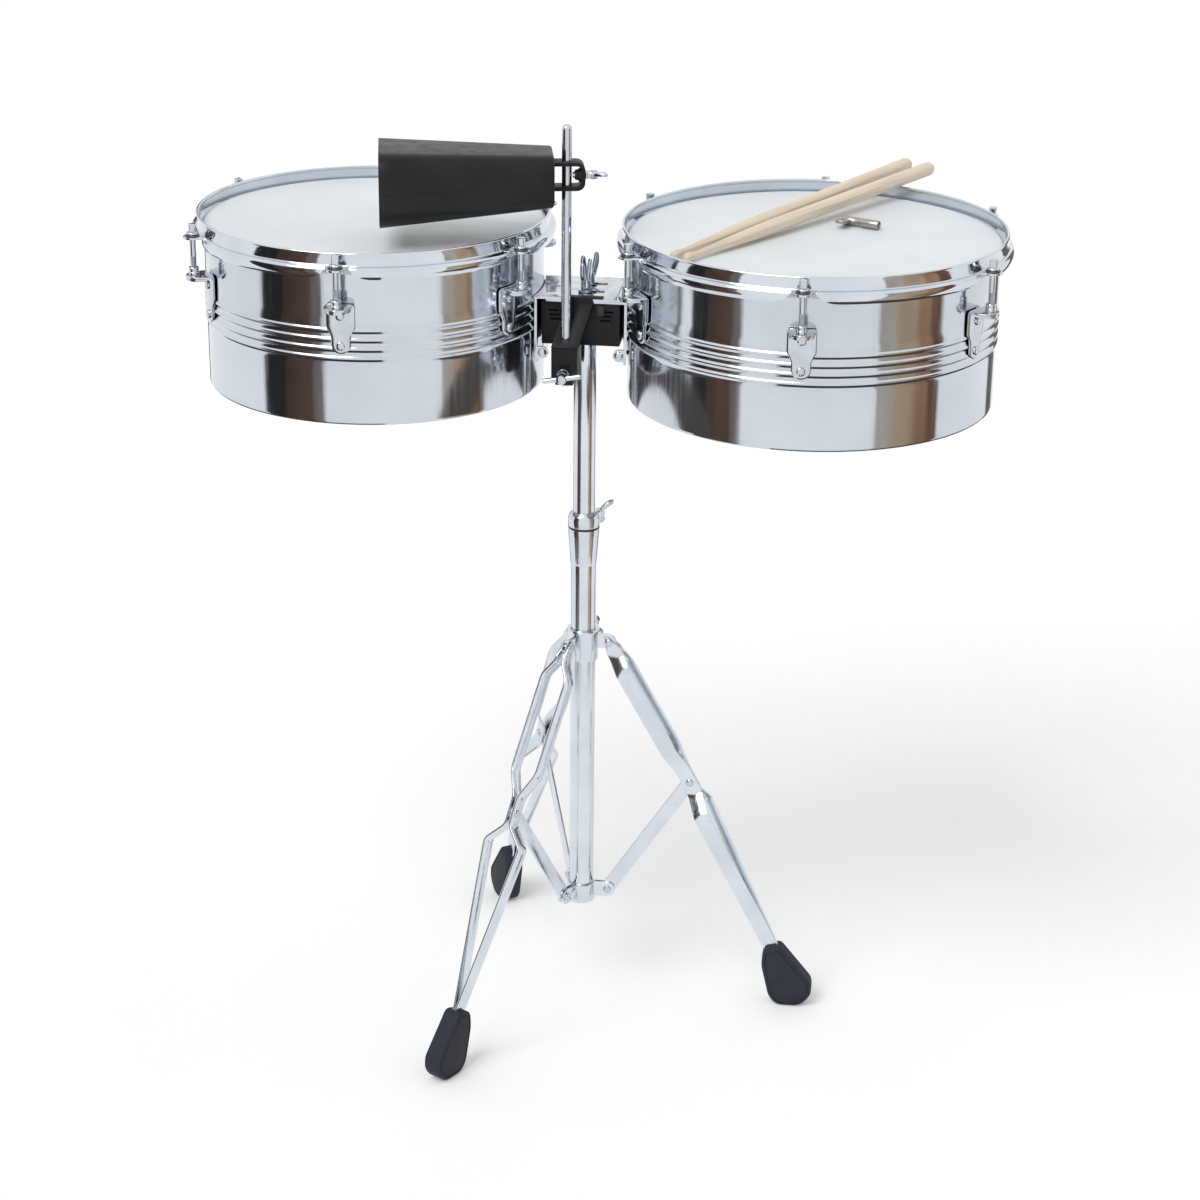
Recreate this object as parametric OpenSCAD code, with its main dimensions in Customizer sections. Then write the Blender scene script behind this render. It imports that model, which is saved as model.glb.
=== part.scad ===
/* [Drums] */
// diameter of the big drum's shell
big_d = 355.6; // [330:0.1:381]
// diameter of the small drum's shell
small_d = 330.2; // [305:0.1:355.6]
// depth of both shells from the open bottom to the bearing edge
shell_h = 156; // [145:1:190]
// wall thickness of the rolled steel shells
shell_t = 1.6; // [1.2:0.1:2.4]
// how far each pressed bead stands out of the shell
bead_out = 1.5; // [0.8:0.1:1.6]
// height of the hoop's rolled edge above the head
rim_h = 12; // [9:0.5:15]
// how far the tension rods stand out from the shell
rod_out = 17; // [15:0.5:20]
// radius of a tension rod
rod_r = 3; // [2.5:0.1:3.2]

/* [Heights] */
// height of the shells' open bottom above the floor
drum_z = 682; // [640:1:760]
// gap between the two shells
drum_gap = 85; // [80:1:100]

/* [Bracket] */
// depth of the black bracket box, front to back
box_d = 76; // [60:1:84]
// height of the black bracket box
box_h = 42; // [34:1:46]
// sheet thickness of the box
box_t = 3; // [2:0.5:4]
// thickness of each chrome drum plate's flange
plate_t = 2.5; // [2:0.5:3]
// travel of each drum along its slots
slot_travel = 15; // [8:1:18]

/* [Stand] */
// outer radius of the main tube
main_r = 12.7; // [11.5:0.1:14]
// outer radius of the sliding upper tube
upper_r = 11.1; // [9.5:0.1:11.2]
// height of the main tube's top
main_top = 529; // [500:1:560]
// height of the leg pivots on the sliding collar
pivot_z = 406; // [380:1:430]
// distance of the leg pivots from the post
pivot_out = 27; // [25:0.5:32]
// height of the brace pivots on the bottom collar
brace_z = 122; // [110:1:140]
// height of the joint between leg and brace
joint_z = 253; // [235:1:275]
// distance of that joint from the post
joint_out = 113; // [95:1:125]
// distance of the strap ends inside the feet from the post
toe_out = 208; // [190:1:225]
// width of the flat leg straps
strap_w = 15.6; // [12:0.2:16]
// thickness of the flat leg straps
strap_t = 2.2; // [1.8:0.2:2.6]
// sideways bow of the upper straps
bow_upper = 14; // [8:1:18]
// sideways bow of the lower straps
bow_lower = 21; // [12:1:25]

/* [Cowbell] */
// radius of the upright cowbell rod
bell_rod_r = 4.75; // [4:0.05:5]
// length of the upright cowbell rod
bell_rod_l = 255; // [220:1:300]
// length of the bell from mouth to closed end
bell_l = 163; // [120:1:190]
// front to back width of the bell's mouth
bell_w = 98; // [75:1:110]
// height of the bell's mouth
bell_h = 71; // [60:1:74]
// wall thickness of the bell
bell_t = 1.6; // [1.2:0.1:2.4]
// turn of the cowbell round its rod, mouth towards the front
bell_turn = 11; // [0:1:30]

/* [Loose pieces] */
// length of each stick
stick_l = 393; // [365:1:420]
// radius of each stick
stick_r = 7; // [5:0.5:7]
// span of the drum key's wings
key_span = 40; // [32:1:46]

/* [Show] */
// piece to draw, or all of them

/* [Hidden] */
$fn = 72;
// running clearance round a turning or sliding pin
run = 0.05;
// gap between curved faces of pieces that move apart
gap = 0.3;
big_r = big_d / 2;
small_r = small_d / 2;
flare = 12;
skirt_t = 1.6;
hoop_t = 1.8;
ear_t = 2;
ear_r = 9;
ear_z = shell_h;
rim_z = shell_h + rim_h;
lug_w = 27;
lug_tip = 18;
lug_top = 118;
lug_low = 70;
lug_back = bead_out + 0.2;
lug_t = 2;
screw_r = 2.1;
screw_head = 4.3;
screw_z1 = 107;
screw_z2 = 78;
bead_first = 65;
bead_step = 9;
saddle_t = 2.5;
big_x = drum_gap / 2 + big_r;
small_x = -drum_gap / 2 - small_r;
box_w = drum_gap - 2 * (lug_back + saddle_t) - 1;
box_top = 773.5 + drum_z - 682;
box_z = box_top - box_h;
flange_1 = box_top;
flange_2 = box_top + plate_t;
stack_z = box_top + 2 * plate_t;
saddle_low = drum_z + 31;
bolt_x = 2;
bolt_y = 14;
bolt_r = 3;
slot_r = bolt_r + 0.3;
main_low = 111;
cuff_t = 1.6;
clamp_turn = 50;
main_in = upper_r + gap;
upper_low = 300;
tube_t = 1.5;
clamp_low = main_top - 38;
ring_z = main_top + 3;
ring_h = 15;
collar_t = 2.8;
collar_low = pivot_z - 19;
collar_top = pivot_z + 14;
ear_half = 2.5;
fork_in = strap_t / 2 + gap;
fork_t = 2;
mid_in = strap_t / 2 + gap;
brace_out = 28;
foot_half = 10;
slant_1 = atan2(pivot_z - joint_z, joint_out - pivot_out);
reach_1 = norm([joint_out - pivot_out, pivot_z - joint_z]);
toe_z = 56;
slant_2 = atan2(joint_z - toe_z, toe_out - joint_out);
reach_2 = norm([toe_out - joint_out, joint_z - toe_z]);
// how far the lower run gets along the line of the upper one
foot_along = reach_2 * cos(slant_2 - slant_1);
slant_b = atan2(joint_z - brace_z, joint_out - brace_out);
reach_b = norm([joint_out - brace_out, joint_z - brace_z]);
rod_x = -12;
rod_y = -box_d / 2 - 15;
bushing_r = bell_rod_r + 2.2;
block_w = 25;
block_d = 26;
block_top = box_z + 3.5;
block_low = block_top - 36;
rod_low = block_low - 4;
bell_z = rod_low + bell_rod_l - 48;
bell_x = rod_x - 13;
bell_end_w = bell_w * 0.69;
bell_end_h = bell_h * 0.7;
bell_top = bell_z + 29;
bell_drop = 6;
bell_edge = 20;
bell_end_edge = 15;
loop_h = 27;
loop_t = 3.5;
loop_d = 20;
loop_x = rod_x + 17;
head_top = drum_z + shell_h + 0.6;
stick_1_tip = [96.3, -105.4];
stick_1_turn = 57.9;
stick_2_tip = [109, -112.8];
stick_2_turn = 56.1;
reach_big = big_x + big_r + flare;
reach_small = -small_x + small_r + flare;
// the row's origin is under the middle of the bounding box
shift_x = (reach_small - reach_big) / 2;
foot_y = (toe_out + 39.7) * sin(120) + foot_half / 2 - 1;
stick_y = stick_1_tip[1] + (stick_l - 4.4) * sin(stick_1_turn) + 2;
shift_y = (foot_y - stick_y) / 2;

// ---- shared shapes ----

// a tube or ring standing on z
module ring(inner, outer, h) {
    difference() {
        cylinder(r = outer, h = h);
        translate([0, 0, -1]) cylinder(r = inner, h = h + 2);
    }
}

// a wing bolt along z: the shaft points down, the wings up
module wing_bolt(shaft_r, shaft_l, hub_r, hub_h, span, wing_h, wing_t) {
    translate([0, 0, -shaft_l]) cylinder(r = shaft_r, h = shaft_l + 1);
    cylinder(r = hub_r, h = hub_h);
    rotate([90, 0, 0])
        translate([0, 0, -wing_t / 2])
            linear_extrude(wing_t)
                polygon([[-hub_r * 0.7, 1], [hub_r * 0.7, 1], [span * 0.33, hub_h * 0.6],
                    [span * 0.5, wing_h * 0.62], [span * 0.5, wing_h * 0.9], [span * 0.42, wing_h],
                    [span * 0.3, wing_h * 0.94], [hub_r * 0.55, hub_h + 1], [-hub_r * 0.55, hub_h + 1],
                    [-span * 0.3, wing_h * 0.94], [-span * 0.42, wing_h], [-span * 0.5, wing_h * 0.9],
                    [-span * 0.5, wing_h * 0.62], [-span * 0.33, hub_h * 0.6]]);
}

// a low round screw head on z with its shaft pointing down
module dome_screw(r, h, shaft, l) {
    rotate_extrude()
        polygon([[0, -l], [shaft, -l], [shaft, 0], [r, 0], [r, h * 0.35], [r * 0.8, h * 0.75],
            [r * 0.4, h], [0, h]]);
}

// ---- the drums, each drawn round z with its open bottom at zero ----

// outline of half a bead on the shell, out to the given depth
function bead(z, r, out) = [[r, z - 3.4], [r + out * 0.55, z - 2.4], [r + out, z - 0.8],
    [r + out, z + 0.8], [r + out * 0.55, z + 2.4], [r, z + 3.4]];

function bead_back(z, r, out) = [[r, z + 3.4], [r + out * 0.55, z + 2.4], [r + out, z + 0.8],
    [r + out, z - 0.8], [r + out * 0.55, z - 2.4], [r, z - 3.4]];

module shell(r) {
    inner = r - shell_t;
    outside = [for (i = [0:3]) each bead(bead_first + i * bead_step, r, bead_out)];
    inside = [for (i = [3:-1:0]) each bead_back(bead_first + i * bead_step, inner, bead_out)];
    difference() {
        rotate_extrude($fn = 144)
            polygon(concat([[r - 3.5, 0], [r - 0.8, 0], [r, 0.8]], outside,
                [[r, shell_h - 0.8], [r - 0.5, shell_h], [inner, shell_h]], inside,
                [[inner, 3.6], [r - 3.5, 3.6]]));
        screw_places(r) translate([0, 0, -8]) cylinder(r = screw_r + 0.2, h = 16, $fn = 24);
        children();
    }
}

module head(r) {
    rotate_extrude($fn = 144)
        polygon([[0, shell_h], [r + 0.3, shell_h], [r + 0.3, shell_h - 9], [r + 6, shell_h - 9],
            [r + 6, shell_h - 3], [r + 1.1, shell_h - 3], [r + 1.1, shell_h], [r + 0.6, shell_h + 0.6],
            [0, shell_h + 0.6]]);
}

// the six rod places round a drum
module rod_places(r) {
    for (a = [30:60:330]) rotate([0, 0, a]) translate([r + rod_out, 0, 0]) children();
}

module hoop(r) {
    low = shell_h - 3;
    difference() {
        union() {
            rotate_extrude($fn = 144)
                polygon([[r + 2.2, low], [r + 7.6, low], [r + 7.6, ear_z - 0.4], [r + 6.9, ear_z],
                    [r + 6.9, rim_z - 0.9], [r + 6, rim_z], [r + 4.8, rim_z], [r + 3.9, rim_z - 0.9],
                    [r + 3.9, rim_z - 2.4], [r + 6.9 - hoop_t, rim_z - 3.2],
                    [r + 6.9 - hoop_t, low + 2], [r + 2.2, low + 2]]);
            difference() {
                rotate_extrude($fn = 144)
                    polygon([[r + 7, ear_z - 0.6], [r + 9.4, ear_z - 1.4], [r + 11.2, ear_z - 3.6],
                        [r + flare, ear_z - 6.6], [r + flare, ear_z - 12], [r + flare - skirt_t, ear_z - 12],
                        [r + flare - skirt_t, ear_z - 6.2], [r + 9.8, ear_z - 4.4],
                        [r + 8.4, ear_z - 2.8], [r + 7, ear_z - 2.4]]);
                for (a = [30:60:330])
                    rotate([0, 0, a])
                        translate([r + 2, 0, ear_z - 14])
                            rotate([0, 90, 0])
                                cylinder(r = 17, h = 20, $fn = 48);
            }
            rod_places(r) {
                translate([0, 0, ear_z - ear_t]) cylinder(r = ear_r, h = ear_t, $fn = 40);
                translate([-10.5, -ear_r, ear_z - ear_t]) cube([10.5, 2 * ear_r, ear_t]);
            }
        }
        rod_places(r) translate([0, 0, ear_z - 8]) cylinder(r = rod_r + 0.3, h = 16, $fn = 32);
    }
}

// the two screw places on every lug, z pointing out of the shell
module screw_places(r) {
    for (a = [30:60:330])
        for (z = [screw_z1, screw_z2])
            rotate([0, 0, a]) translate([r, 0, z]) rotate([0, 90, 0]) children();
}

module lugs(r) {
    difference() {
        union() {
            for (a = [30:60:330])
                rotate([0, 0, a])
                    intersection() {
                        translate([0, 0, lug_low])
                            ring(r + lug_back, r + lug_back + lug_t, lug_top - lug_low);
                        translate([r - 4, 0, 0])
                            rotate([90, 0, 90])
                                linear_extrude(12) lug_outline();
                    }
            rod_places(r)
                translate([lug_back - rod_out + 1, 0, lug_top - lug_t])
                    linear_extrude(lug_t) shelf_outline();
        }
        rod_places(r) translate([0, 0, lug_top - 8]) cylinder(r = rod_r + 0.3, h = 16, $fn = 32);
        screw_places(r) cylinder(r = screw_r + 0.2, h = 12, $fn = 24);
    }
}

module lug_outline() {
    half = lug_w / 2;
    tip = lug_tip / 2;
    translate([0, lug_low + tip]) circle(r = tip, $fn = 40);
    polygon([[-tip, lug_low + tip], [tip, lug_low + tip], [tip, lug_low + 17], [half - 1.5, lug_low + 23],
        [half, lug_low + 26], [half, lug_top], [-half, lug_top], [-half, lug_low + 26],
        [-half + 1.5, lug_low + 23], [-tip, lug_low + 17]]);
}

module shelf_outline() {
    half = lug_w / 2;
    reach = rod_out - lug_back - 1;
    polygon([[0, -half], [reach - 5, -half], [reach + 3, -half + 4], [reach + 7, -half + 9],
        [reach + 8, 0], [reach + 7, half - 9], [reach + 3, half - 4], [reach - 5, half], [0, half]]);
}

module lug_screws(r) {
    screw_places(r)
        translate([0, 0, lug_back + lug_t])
            dome_screw(screw_head, 2.2, screw_r, lug_back + lug_t + shell_t + 4, $fn = 24);
    screw_places(r)
        translate([0, 0, -shell_t - 2.4])
            ring(screw_r + run, 4, 2, $fn = 6);
}

module lug_nuts(r) {
    rod_places(r) translate([0, 0, lug_top]) ring(rod_r + run, 5, 8, $fn = 32);
}

module washers(r) {
    rod_places(r) translate([0, 0, ear_z]) ring(rod_r + 0.2, 7, 1.5, $fn = 32);
}

module rods(r) {
    rod_places(r) {
        translate([0, 0, lug_top - lug_t - 1])
            cylinder(r = rod_r, h = ear_z - lug_top + lug_t + 3, $fn = 32);
        translate([0, 0, ear_z + 1.5]) cylinder(r = 5.6, h = 2.5, $fn = 32);
        translate([-3.4, -3.4, ear_z + 3]) cube([6.8, 6.8, rim_h - 3.2]);
    }
}

// ---- the chrome plate that carries a drum, with the drum towards +x ----

module saddle(r, x, flange_z, slot_from, slot_to) {
    reach = -x + r;
    difference() {
        union() {
            intersection() {
                translate([x, 0, saddle_low])
                    ring(r + lug_back, r + lug_back + saddle_t, flange_z + plate_t - saddle_low);
                translate([0, -box_d / 2, saddle_low]) cube([60, box_d, flange_z + plate_t - saddle_low]);
            }
            difference() {
                translate([-box_w / 2 + 4, -box_d / 2, flange_z]) cube([box_w / 2 + 40, box_d, plate_t]);
                translate([x, 0, flange_z - 1]) cylinder(r = r + lug_back, h = plate_t + 2, $fn = 144);
            }
            for (s = [-1, 1]) saddle_ear(s);
        }
        for (s = [-1, 1])
            translate([0, s * bolt_y, flange_z - 1]) {
                translate([slot_from, 0, 0]) cylinder(r = slot_r, h = plate_t + 2, $fn = 32);
                translate([slot_to, 0, 0]) cylinder(r = slot_r, h = plate_t + 2, $fn = 32);
                translate([slot_from, -slot_r, 0]) cube([slot_to - slot_from, 2 * slot_r, plate_t + 2]);
            }
        plate_holes(r, x) translate([0, 0, -2]) cylinder(r = screw_r + 0.2, h = 12, $fn = 24);
        for (s = [-1, 1])
            translate([saddle_ear_x, s * (box_d / 2 - 4), saddle_low + 9])
                rotate([90, 0, 0])
                    translate([0, 0, -8]) cylinder(r = screw_r + 0.2, h = 16, $fn = 24);
    }
}

// small rounded ear folded in at each end of a saddle, below the box
saddle_ear_x = box_w / 2 - 0.5;

module saddle_ear(s) {
    y = s > 0 ? box_d / 2 - 2.5 : -box_d / 2;
    translate([saddle_ear_x, y + 2.5, saddle_low + 9])
        rotate([90, 0, 0]) {
            cylinder(r = 6, h = 2.5, $fn = 40);
            translate([0, -6, 0]) cube([box_w / 2 + 6 - saddle_ear_x, 12, 2.5]);
        }
}

// the four screws that hold a plate to its shell, z pointing out of the shell
module plate_holes(r, x) {
    for (a = [-7, 7])
        for (z = [saddle_low + 8, saddle_low + 50])
            translate([x, 0, z]) rotate([0, 0, 180 + a]) translate([r, 0, 0]) rotate([0, 90, 0]) children();
}

module plate_screws(r, x) {
    plate_holes(r, x)
        translate([0, 0, -shell_t - 0.1])
            rotate([180, 0, 0])
                dome_screw(screw_head, 2.2, screw_r, shell_t + lug_back + saddle_t - 0.3, $fn = 24);
    for (s = [-1, 1])
        translate([saddle_ear_x, s * box_d / 2, saddle_low + 9])
            rotate([-s * 90, 0, 0])
                dome_screw(screw_head, 2.2, screw_r, 4, $fn = 24);
}

// ---- the stand ----

module main_tube() {
    color([0.8, 0.81, 0.83])
        translate([0, 0, main_low]) ring(main_in, main_r, main_top - main_low);
}

module bottom_collar() {
    color([0.78, 0.79, 0.81])
        difference() {
            union() {
                translate([0, 0, main_low - 2]) cylinder(r = main_r + cuff_t, h = 20);
                for (a = [0:120:240])
                    rotate([0, 0, a])
                        for (s = [-1, 1]) fork_plate(s, brace_out, brace_z, fork_in, fork_t, main_r + 1, 8);
            }
            translate([0, 0, main_low]) cylinder(r = main_r + run, h = 40);
            translate([0, 0, main_low - 5]) cylinder(r = main_r - 2.5, h = 40);
            for (a = [0:120:240])
                rotate([0, 0, a])
                    translate([brace_out, 0, brace_z]) rotate([90, 0, 0]) translate([0, 0, -10])
                        cylinder(r = 2.5 + run, h = 20, $fn = 32);
        }
}

// one flat ear that carries a pivot
module fork_plate(s, out, z, inner, t, from, end_r) {
    y = s > 0 ? inner : -inner - t;
    translate([0, y + t, 0])
        rotate([90, 0, 0])
            linear_extrude(t) {
                translate([out, z]) circle(r = end_r, $fn = 40);
                translate([from, z - end_r]) square([out - from, 2 * end_r]);
            }
}

// a rivet across a pivot, with a low head at each end
module rivet(half) {
    rotate([90, 0, 0]) {
        translate([0, 0, -half]) cylinder(r = 2.5, h = 2 * half, $fn = 32);
        for (s = [-1, 1])
            rotate([s > 0 ? 0 : 180, 0, 0])
                translate([0, 0, half])
                    rotate_extrude($fn = 32) polygon([[0, 0], [4.2, 0], [3.6, 1], [2, 1.6], [0, 1.6]]);
    }
}

module bottom_rivets() {
    color([0.7, 0.71, 0.73])
        for (a = [0:120:240])
            rotate([0, 0, a]) translate([brace_out, 0, brace_z]) rivet(fork_in + fork_t);
}

module height_clamp() {
    color([0.78, 0.79, 0.81])
        rotate_extrude()
            polygon([[main_r + run, clamp_low], [main_r + 0.6, clamp_low], [main_r + 1.6, clamp_low + 14],
                [main_r + 3, clamp_low + 32], [main_r + 3, main_top + 0.5], [main_in, main_top + 0.5],
                [main_in, main_top], [main_r + run, main_top]]);
}

module clamp_ring() {
    color([0.05, 0.05, 0.06])
        translate([0, 0, main_top + 0.5]) ring(upper_r + run, main_r + 3.2, ring_z - main_top - 0.5);
}

module clamp_head() {
    color([0.8, 0.81, 0.83])
        difference() {
            union() {
                rotate_extrude()
                    polygon([[0, ring_z], [main_r + 3.4, ring_z], [main_r + 3.4, ring_z + 8],
                        [main_r + 2, ring_z + 12], [main_r - 0.4, ring_z + ring_h], [0, ring_z + ring_h]]);
                translate([0, 0, ring_z + 7]) rotate([0, 90, clamp_turn]) cylinder(r = 6, h = main_r + 5);
            }
            translate([0, 0, ring_z - 1]) cylinder(r = upper_r + run, h = 30);
            translate([0, 0, ring_z + 7]) rotate([0, 90, clamp_turn]) cylinder(r = bolt_r + run, h = 40, $fn = 32);
        }
}

module height_bolt() {
    color([0.72, 0.73, 0.75])
        rotate([0, 0, clamp_turn])
            translate([main_r + 5.3, 0, ring_z + 7])
                rotate([0, 90, 0])
                    rotate([0, 0, 30])
                        wing_bolt(bolt_r, main_r + 5.3 - upper_r - 0.4, 6, 6, 33, 16, 3.4);
}

module leg_collar() {
    color([0.78, 0.79, 0.81])
        difference() {
            union() {
                translate([0, 0, collar_low]) cylinder(r = main_r + collar_t, h = collar_top - collar_low);
                translate([0, 0, collar_top - 3]) cylinder(r = main_r + collar_t + 0.8, h = 3);
                for (a = [0:120:240])
                    rotate([0, 0, a])
                        fork_plate(1, pivot_out, pivot_z, -ear_half, 2 * ear_half, main_r + 1, 7);
                rotate([0, 0, 60]) translate([0, 0, pivot_z])
                    rotate([0, 90, 0]) cylinder(r = 6.5, h = main_r + 9);
            }
            translate([0, 0, collar_low - 1]) cylinder(r = main_r + run, h = 60);
            rotate([0, 0, 60]) translate([0, 0, pivot_z])
                rotate([0, 90, 0]) cylinder(r = bolt_r + run, h = 40, $fn = 32);
            for (a = [0:120:240])
                rotate([0, 0, a])
                    translate([pivot_out, 0, pivot_z]) rotate([90, 0, 0]) translate([0, 0, -10])
                        cylinder(r = 2.5 + run, h = 20, $fn = 32);
        }
}

module leg_collar_bolt() {
    color([0.72, 0.73, 0.75])
        rotate([0, 0, 60])
            translate([main_r + 9.3, 0, pivot_z])
                rotate([0, 90, 0])
                    rotate([0, 0, -50])
                        wing_bolt(bolt_r, 8.9, 6.5, 6, 36, 18, 3.4);
}

// the bow of one strap, as distance along the upper run and distance from the leg's middle plane
strap_bow = [[-12, ear_half + gap], [16, ear_half + gap], [34, bow_upper], [reach_1 - 42, bow_upper],
    [reach_1 - 15, mid_in], [reach_1 + 14, mid_in], [reach_1 + 34, bow_lower],
    [reach_1 + foot_along - 16, 0.1], [reach_1 + foot_along + 8, 0.1]];

// the same line closed into an outline of thickness strap_t
strap_line = concat(strap_bow, [for (i = [len(strap_bow) - 1:-1:0]) strap_bow[i] + [0, strap_t]]);

// the strap seen square to its flat face, in the plane of the leg
module strap_outline() {
    translate([pivot_out, pivot_z]) {
        circle(r = strap_w / 2 + 0.4, $fn = 48);
        rotate(-slant_1) translate([0, -strap_w / 2]) square([reach_1, strap_w]);
    }
    translate([joint_out, joint_z]) {
        circle(r = strap_w / 2 + 0.4, $fn = 48);
        rotate(-slant_2) translate([0, -strap_w / 2]) square([reach_2, strap_w]);
    }
}

// one whole strap, bowed sideways and bent at the joint
module strap() {
    intersection() {
        translate([0, 40, 0]) rotate([90, 0, 0]) linear_extrude(80) strap_outline();
        translate([pivot_out, 0, pivot_z])
            rotate([0, slant_1, 0])
                translate([0, 0, -toe_out / 2])
                    linear_extrude(toe_out) polygon(strap_line);
    }
}

module leg(a) {
    color([0.8, 0.81, 0.83])
        rotate([0, 0, a])
            difference() {
                for (s = [0, 1])
                    mirror([0, s, 0]) strap();
                translate([pivot_out, -20, pivot_z]) rotate([-90, 0, 0])
                    cylinder(r = 2.5 + run, h = 40, $fn = 32);
                translate([joint_out, -20, joint_z]) rotate([-90, 0, 0])
                    cylinder(r = 2.5 + run, h = 40, $fn = 32);
            }
}

module leg_rivets(a) {
    color([0.7, 0.71, 0.73])
        rotate([0, 0, a]) {
            translate([pivot_out, 0, pivot_z]) rivet(ear_half + gap + strap_t);
            for (s = [-1, 1])
                translate([joint_out, s * (mid_in + 0.1), joint_z])
                    rotate([-s * 90, 0, 0])
                        rotate_extrude($fn = 32)
                            polygon([[0, 0], [2.5, 0], [2.5, strap_t - 0.1], [4.2, strap_t - 0.1],
                                [3.6, strap_t + 0.9], [2, strap_t + 1.5], [0, strap_t + 1.5]]);
        }
}

module foot(a) {
    color([0.12, 0.13, 0.16])
        rotate([0, 0, a])
            difference() {
                union() {
                    translate([0, foot_half - 2.5, 0]) rotate([90, 0, 0])
                        linear_extrude(2 * foot_half - 5) polygon(foot_side(0));
                    translate([0, foot_half, 0]) rotate([90, 0, 0])
                        linear_extrude(2 * foot_half) polygon(foot_side(2));
                }
                translate([joint_out, 0, joint_z])
                    rotate([0, slant_2, 0])
                        translate([reach_2 - 30, -strap_t - 0.4, -strap_w / 2 - 0.2])
                            cube([30, 2 * strap_t + 0.8, strap_w + 0.4]);
            }
}

// side outline of a rubber foot, drawn in by the given amount above its sole
function foot_side(in) = [[toe_out + 5, 0], [toe_out + 25, 0], [toe_out + 32 - in, 5],
    [toe_out + 40 - in, 15], [toe_out + 39.4 - in, 28], [toe_out + 5 - in, 70 - in],
    [toe_out - 13 + in, 63 - in], [toe_out - 14 + in, 46], [toe_out - 6 + in, 12], [toe_out - 2 + in, 6]];

module brace(a) {
    color([0.8, 0.81, 0.83])
        rotate([0, 0, a])
            difference() {
                translate([brace_out, strap_t / 2, brace_z])
                    rotate([0, -slant_b, 0])
                        rotate([90, 0, 0])
                            linear_extrude(strap_t) {
                                circle(r = 7.2, $fn = 40);
                                translate([reach_b, 0]) circle(r = 7.2, $fn = 40);
                                translate([0, -7.2]) square([reach_b, 14.4]);
                            }
                translate([brace_out, -20, brace_z]) rotate([-90, 0, 0])
                    cylinder(r = 2.5 + run, h = 40, $fn = 32);
                translate([joint_out, -20, joint_z]) rotate([-90, 0, 0]) cylinder(r = 3, h = 40, $fn = 32);
            }
}

// ---- the mast and its bracket box ----

module upper_tube() {
    color([0.8, 0.81, 0.83])
        translate([0, 0, upper_low]) ring(upper_r - tube_t, upper_r, box_top - 15 - upper_low);
}

module bracket_box() {
    w = box_w;
    d = box_d;
    color([0.07, 0.07, 0.08])
        difference() {
            union() {
                difference() {
                    translate([-w / 2, -d / 2, box_z]) cube([w, d, box_h]);
                    translate([-w / 2 + box_t, -d / 2 + box_t, box_z + box_t])
                        cube([w - 2 * box_t, d - 2 * box_t, box_h - 2 * box_t]);
                }
                for (s = [-1, 1])
                    translate([bolt_x, s * bolt_y, box_top - box_t - 8]) cylinder(r = 6, h = 9, $fn = 6);
                translate([0, 0, box_z + 1]) cylinder(r = upper_r + 3, h = 22);
            }
            translate([0, 0, box_z - 1]) cylinder(r = upper_r + run, h = 25);
            for (s = [-1, 1])
                translate([bolt_x, s * bolt_y, box_top - 20]) cylinder(r = bolt_r + run, h = 30, $fn = 32);
            for (s = [-1, 1])
                for (i = [0:2])
                    translate([s * (w / 2 - 11.5) - s * i * 1.1 - 5, -d / 2 - 1, box_top - 9 - i * 4.4])
                        cube([10, box_t + 2, 1.6]);
        }
}

module bracket_clip() {
    color([0.16, 0.16, 0.18])
        translate([16, -box_d / 2 - 2, box_top - 12]) {
            cube([7, 2, 10]);
            translate([1, -1.2, 3]) cube([5, 1.3, 2]);
        }
}

module plate_bolt(s, turn) {
    color([0.72, 0.73, 0.75])
        translate([bolt_x, s * bolt_y, stack_z]) {
            cylinder(r = 7.5, h = 2.2);
            translate([0, 0, 2]) rotate([0, 0, turn]) wing_bolt(bolt_r, 20, 5, 9, 25, 28, 3.2);
        }
}

// ---- cowbell holder ----

module bell_arm() {
    front = -box_d / 2;
    color([0.07, 0.07, 0.08])
        difference() {
            union() {
                translate([-14, front - 3, stack_z]) cube([36, 8, 1.4]);
                translate([-14, front - 3, box_top - 9]) cube([26, 3, 9 + 2 * plate_t + 1.4]);
                hull() {
                    translate([-14, front - 3, box_top - 6]) cube([26, 3, 6]);
                    translate([rod_x - block_w / 2 - 1, rod_y - 9, block_top - 0.4]) cube([26, 3, 0.4]);
                }
                translate([rod_x - block_w / 2, rod_y - block_d / 2, block_low + 6])
                    cube([block_w, block_d, block_top - block_low - 6]);
                translate([rod_x - block_w / 2 + 4, rod_y - block_d / 2, block_low])
                    cube([block_w - 8, block_d, 7]);
            }
            translate([rod_x, rod_y, block_low - 5]) cylinder(r = bell_rod_r + run, h = 100);
            translate([rod_x, rod_y, block_top]) cylinder(r = bushing_r + run, h = 7 + gap);
            translate([rod_x, rod_y, block_low + 12]) rotate([90, 0, 0])
                cylinder(r = bolt_r + run, h = 60, $fn = 32);
        }
}

module arm_bushing() {
    color([0.05, 0.05, 0.06])
        translate([rod_x, rod_y, block_top]) ring(bell_rod_r + run, bushing_r, 7);
}

module arm_bolt() {
    z = block_low + 12;
    tip = rod_y - bell_rod_r - gap;
    color([0.72, 0.73, 0.75]) {
        translate([rod_x, tip, z]) rotate([90, 0, 0]) cylinder(r = bolt_r, h = 28, $fn = 32);
        translate([rod_x, rod_y - block_d / 2 - 5, z]) rotate([90, 0, 0])
            cylinder(r = 6, h = 2.5, $fn = 40);
        translate([rod_x, tip - 20, z]) rotate([90, 0, 0]) cylinder(r = 5, h = 12, $fn = 40);
        translate([rod_x, tip - 26, z]) rotate([0, 80, 0]) translate([0, 0, -18.5])
            cylinder(r = 2.6, h = 37, $fn = 32);
    }
}

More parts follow.
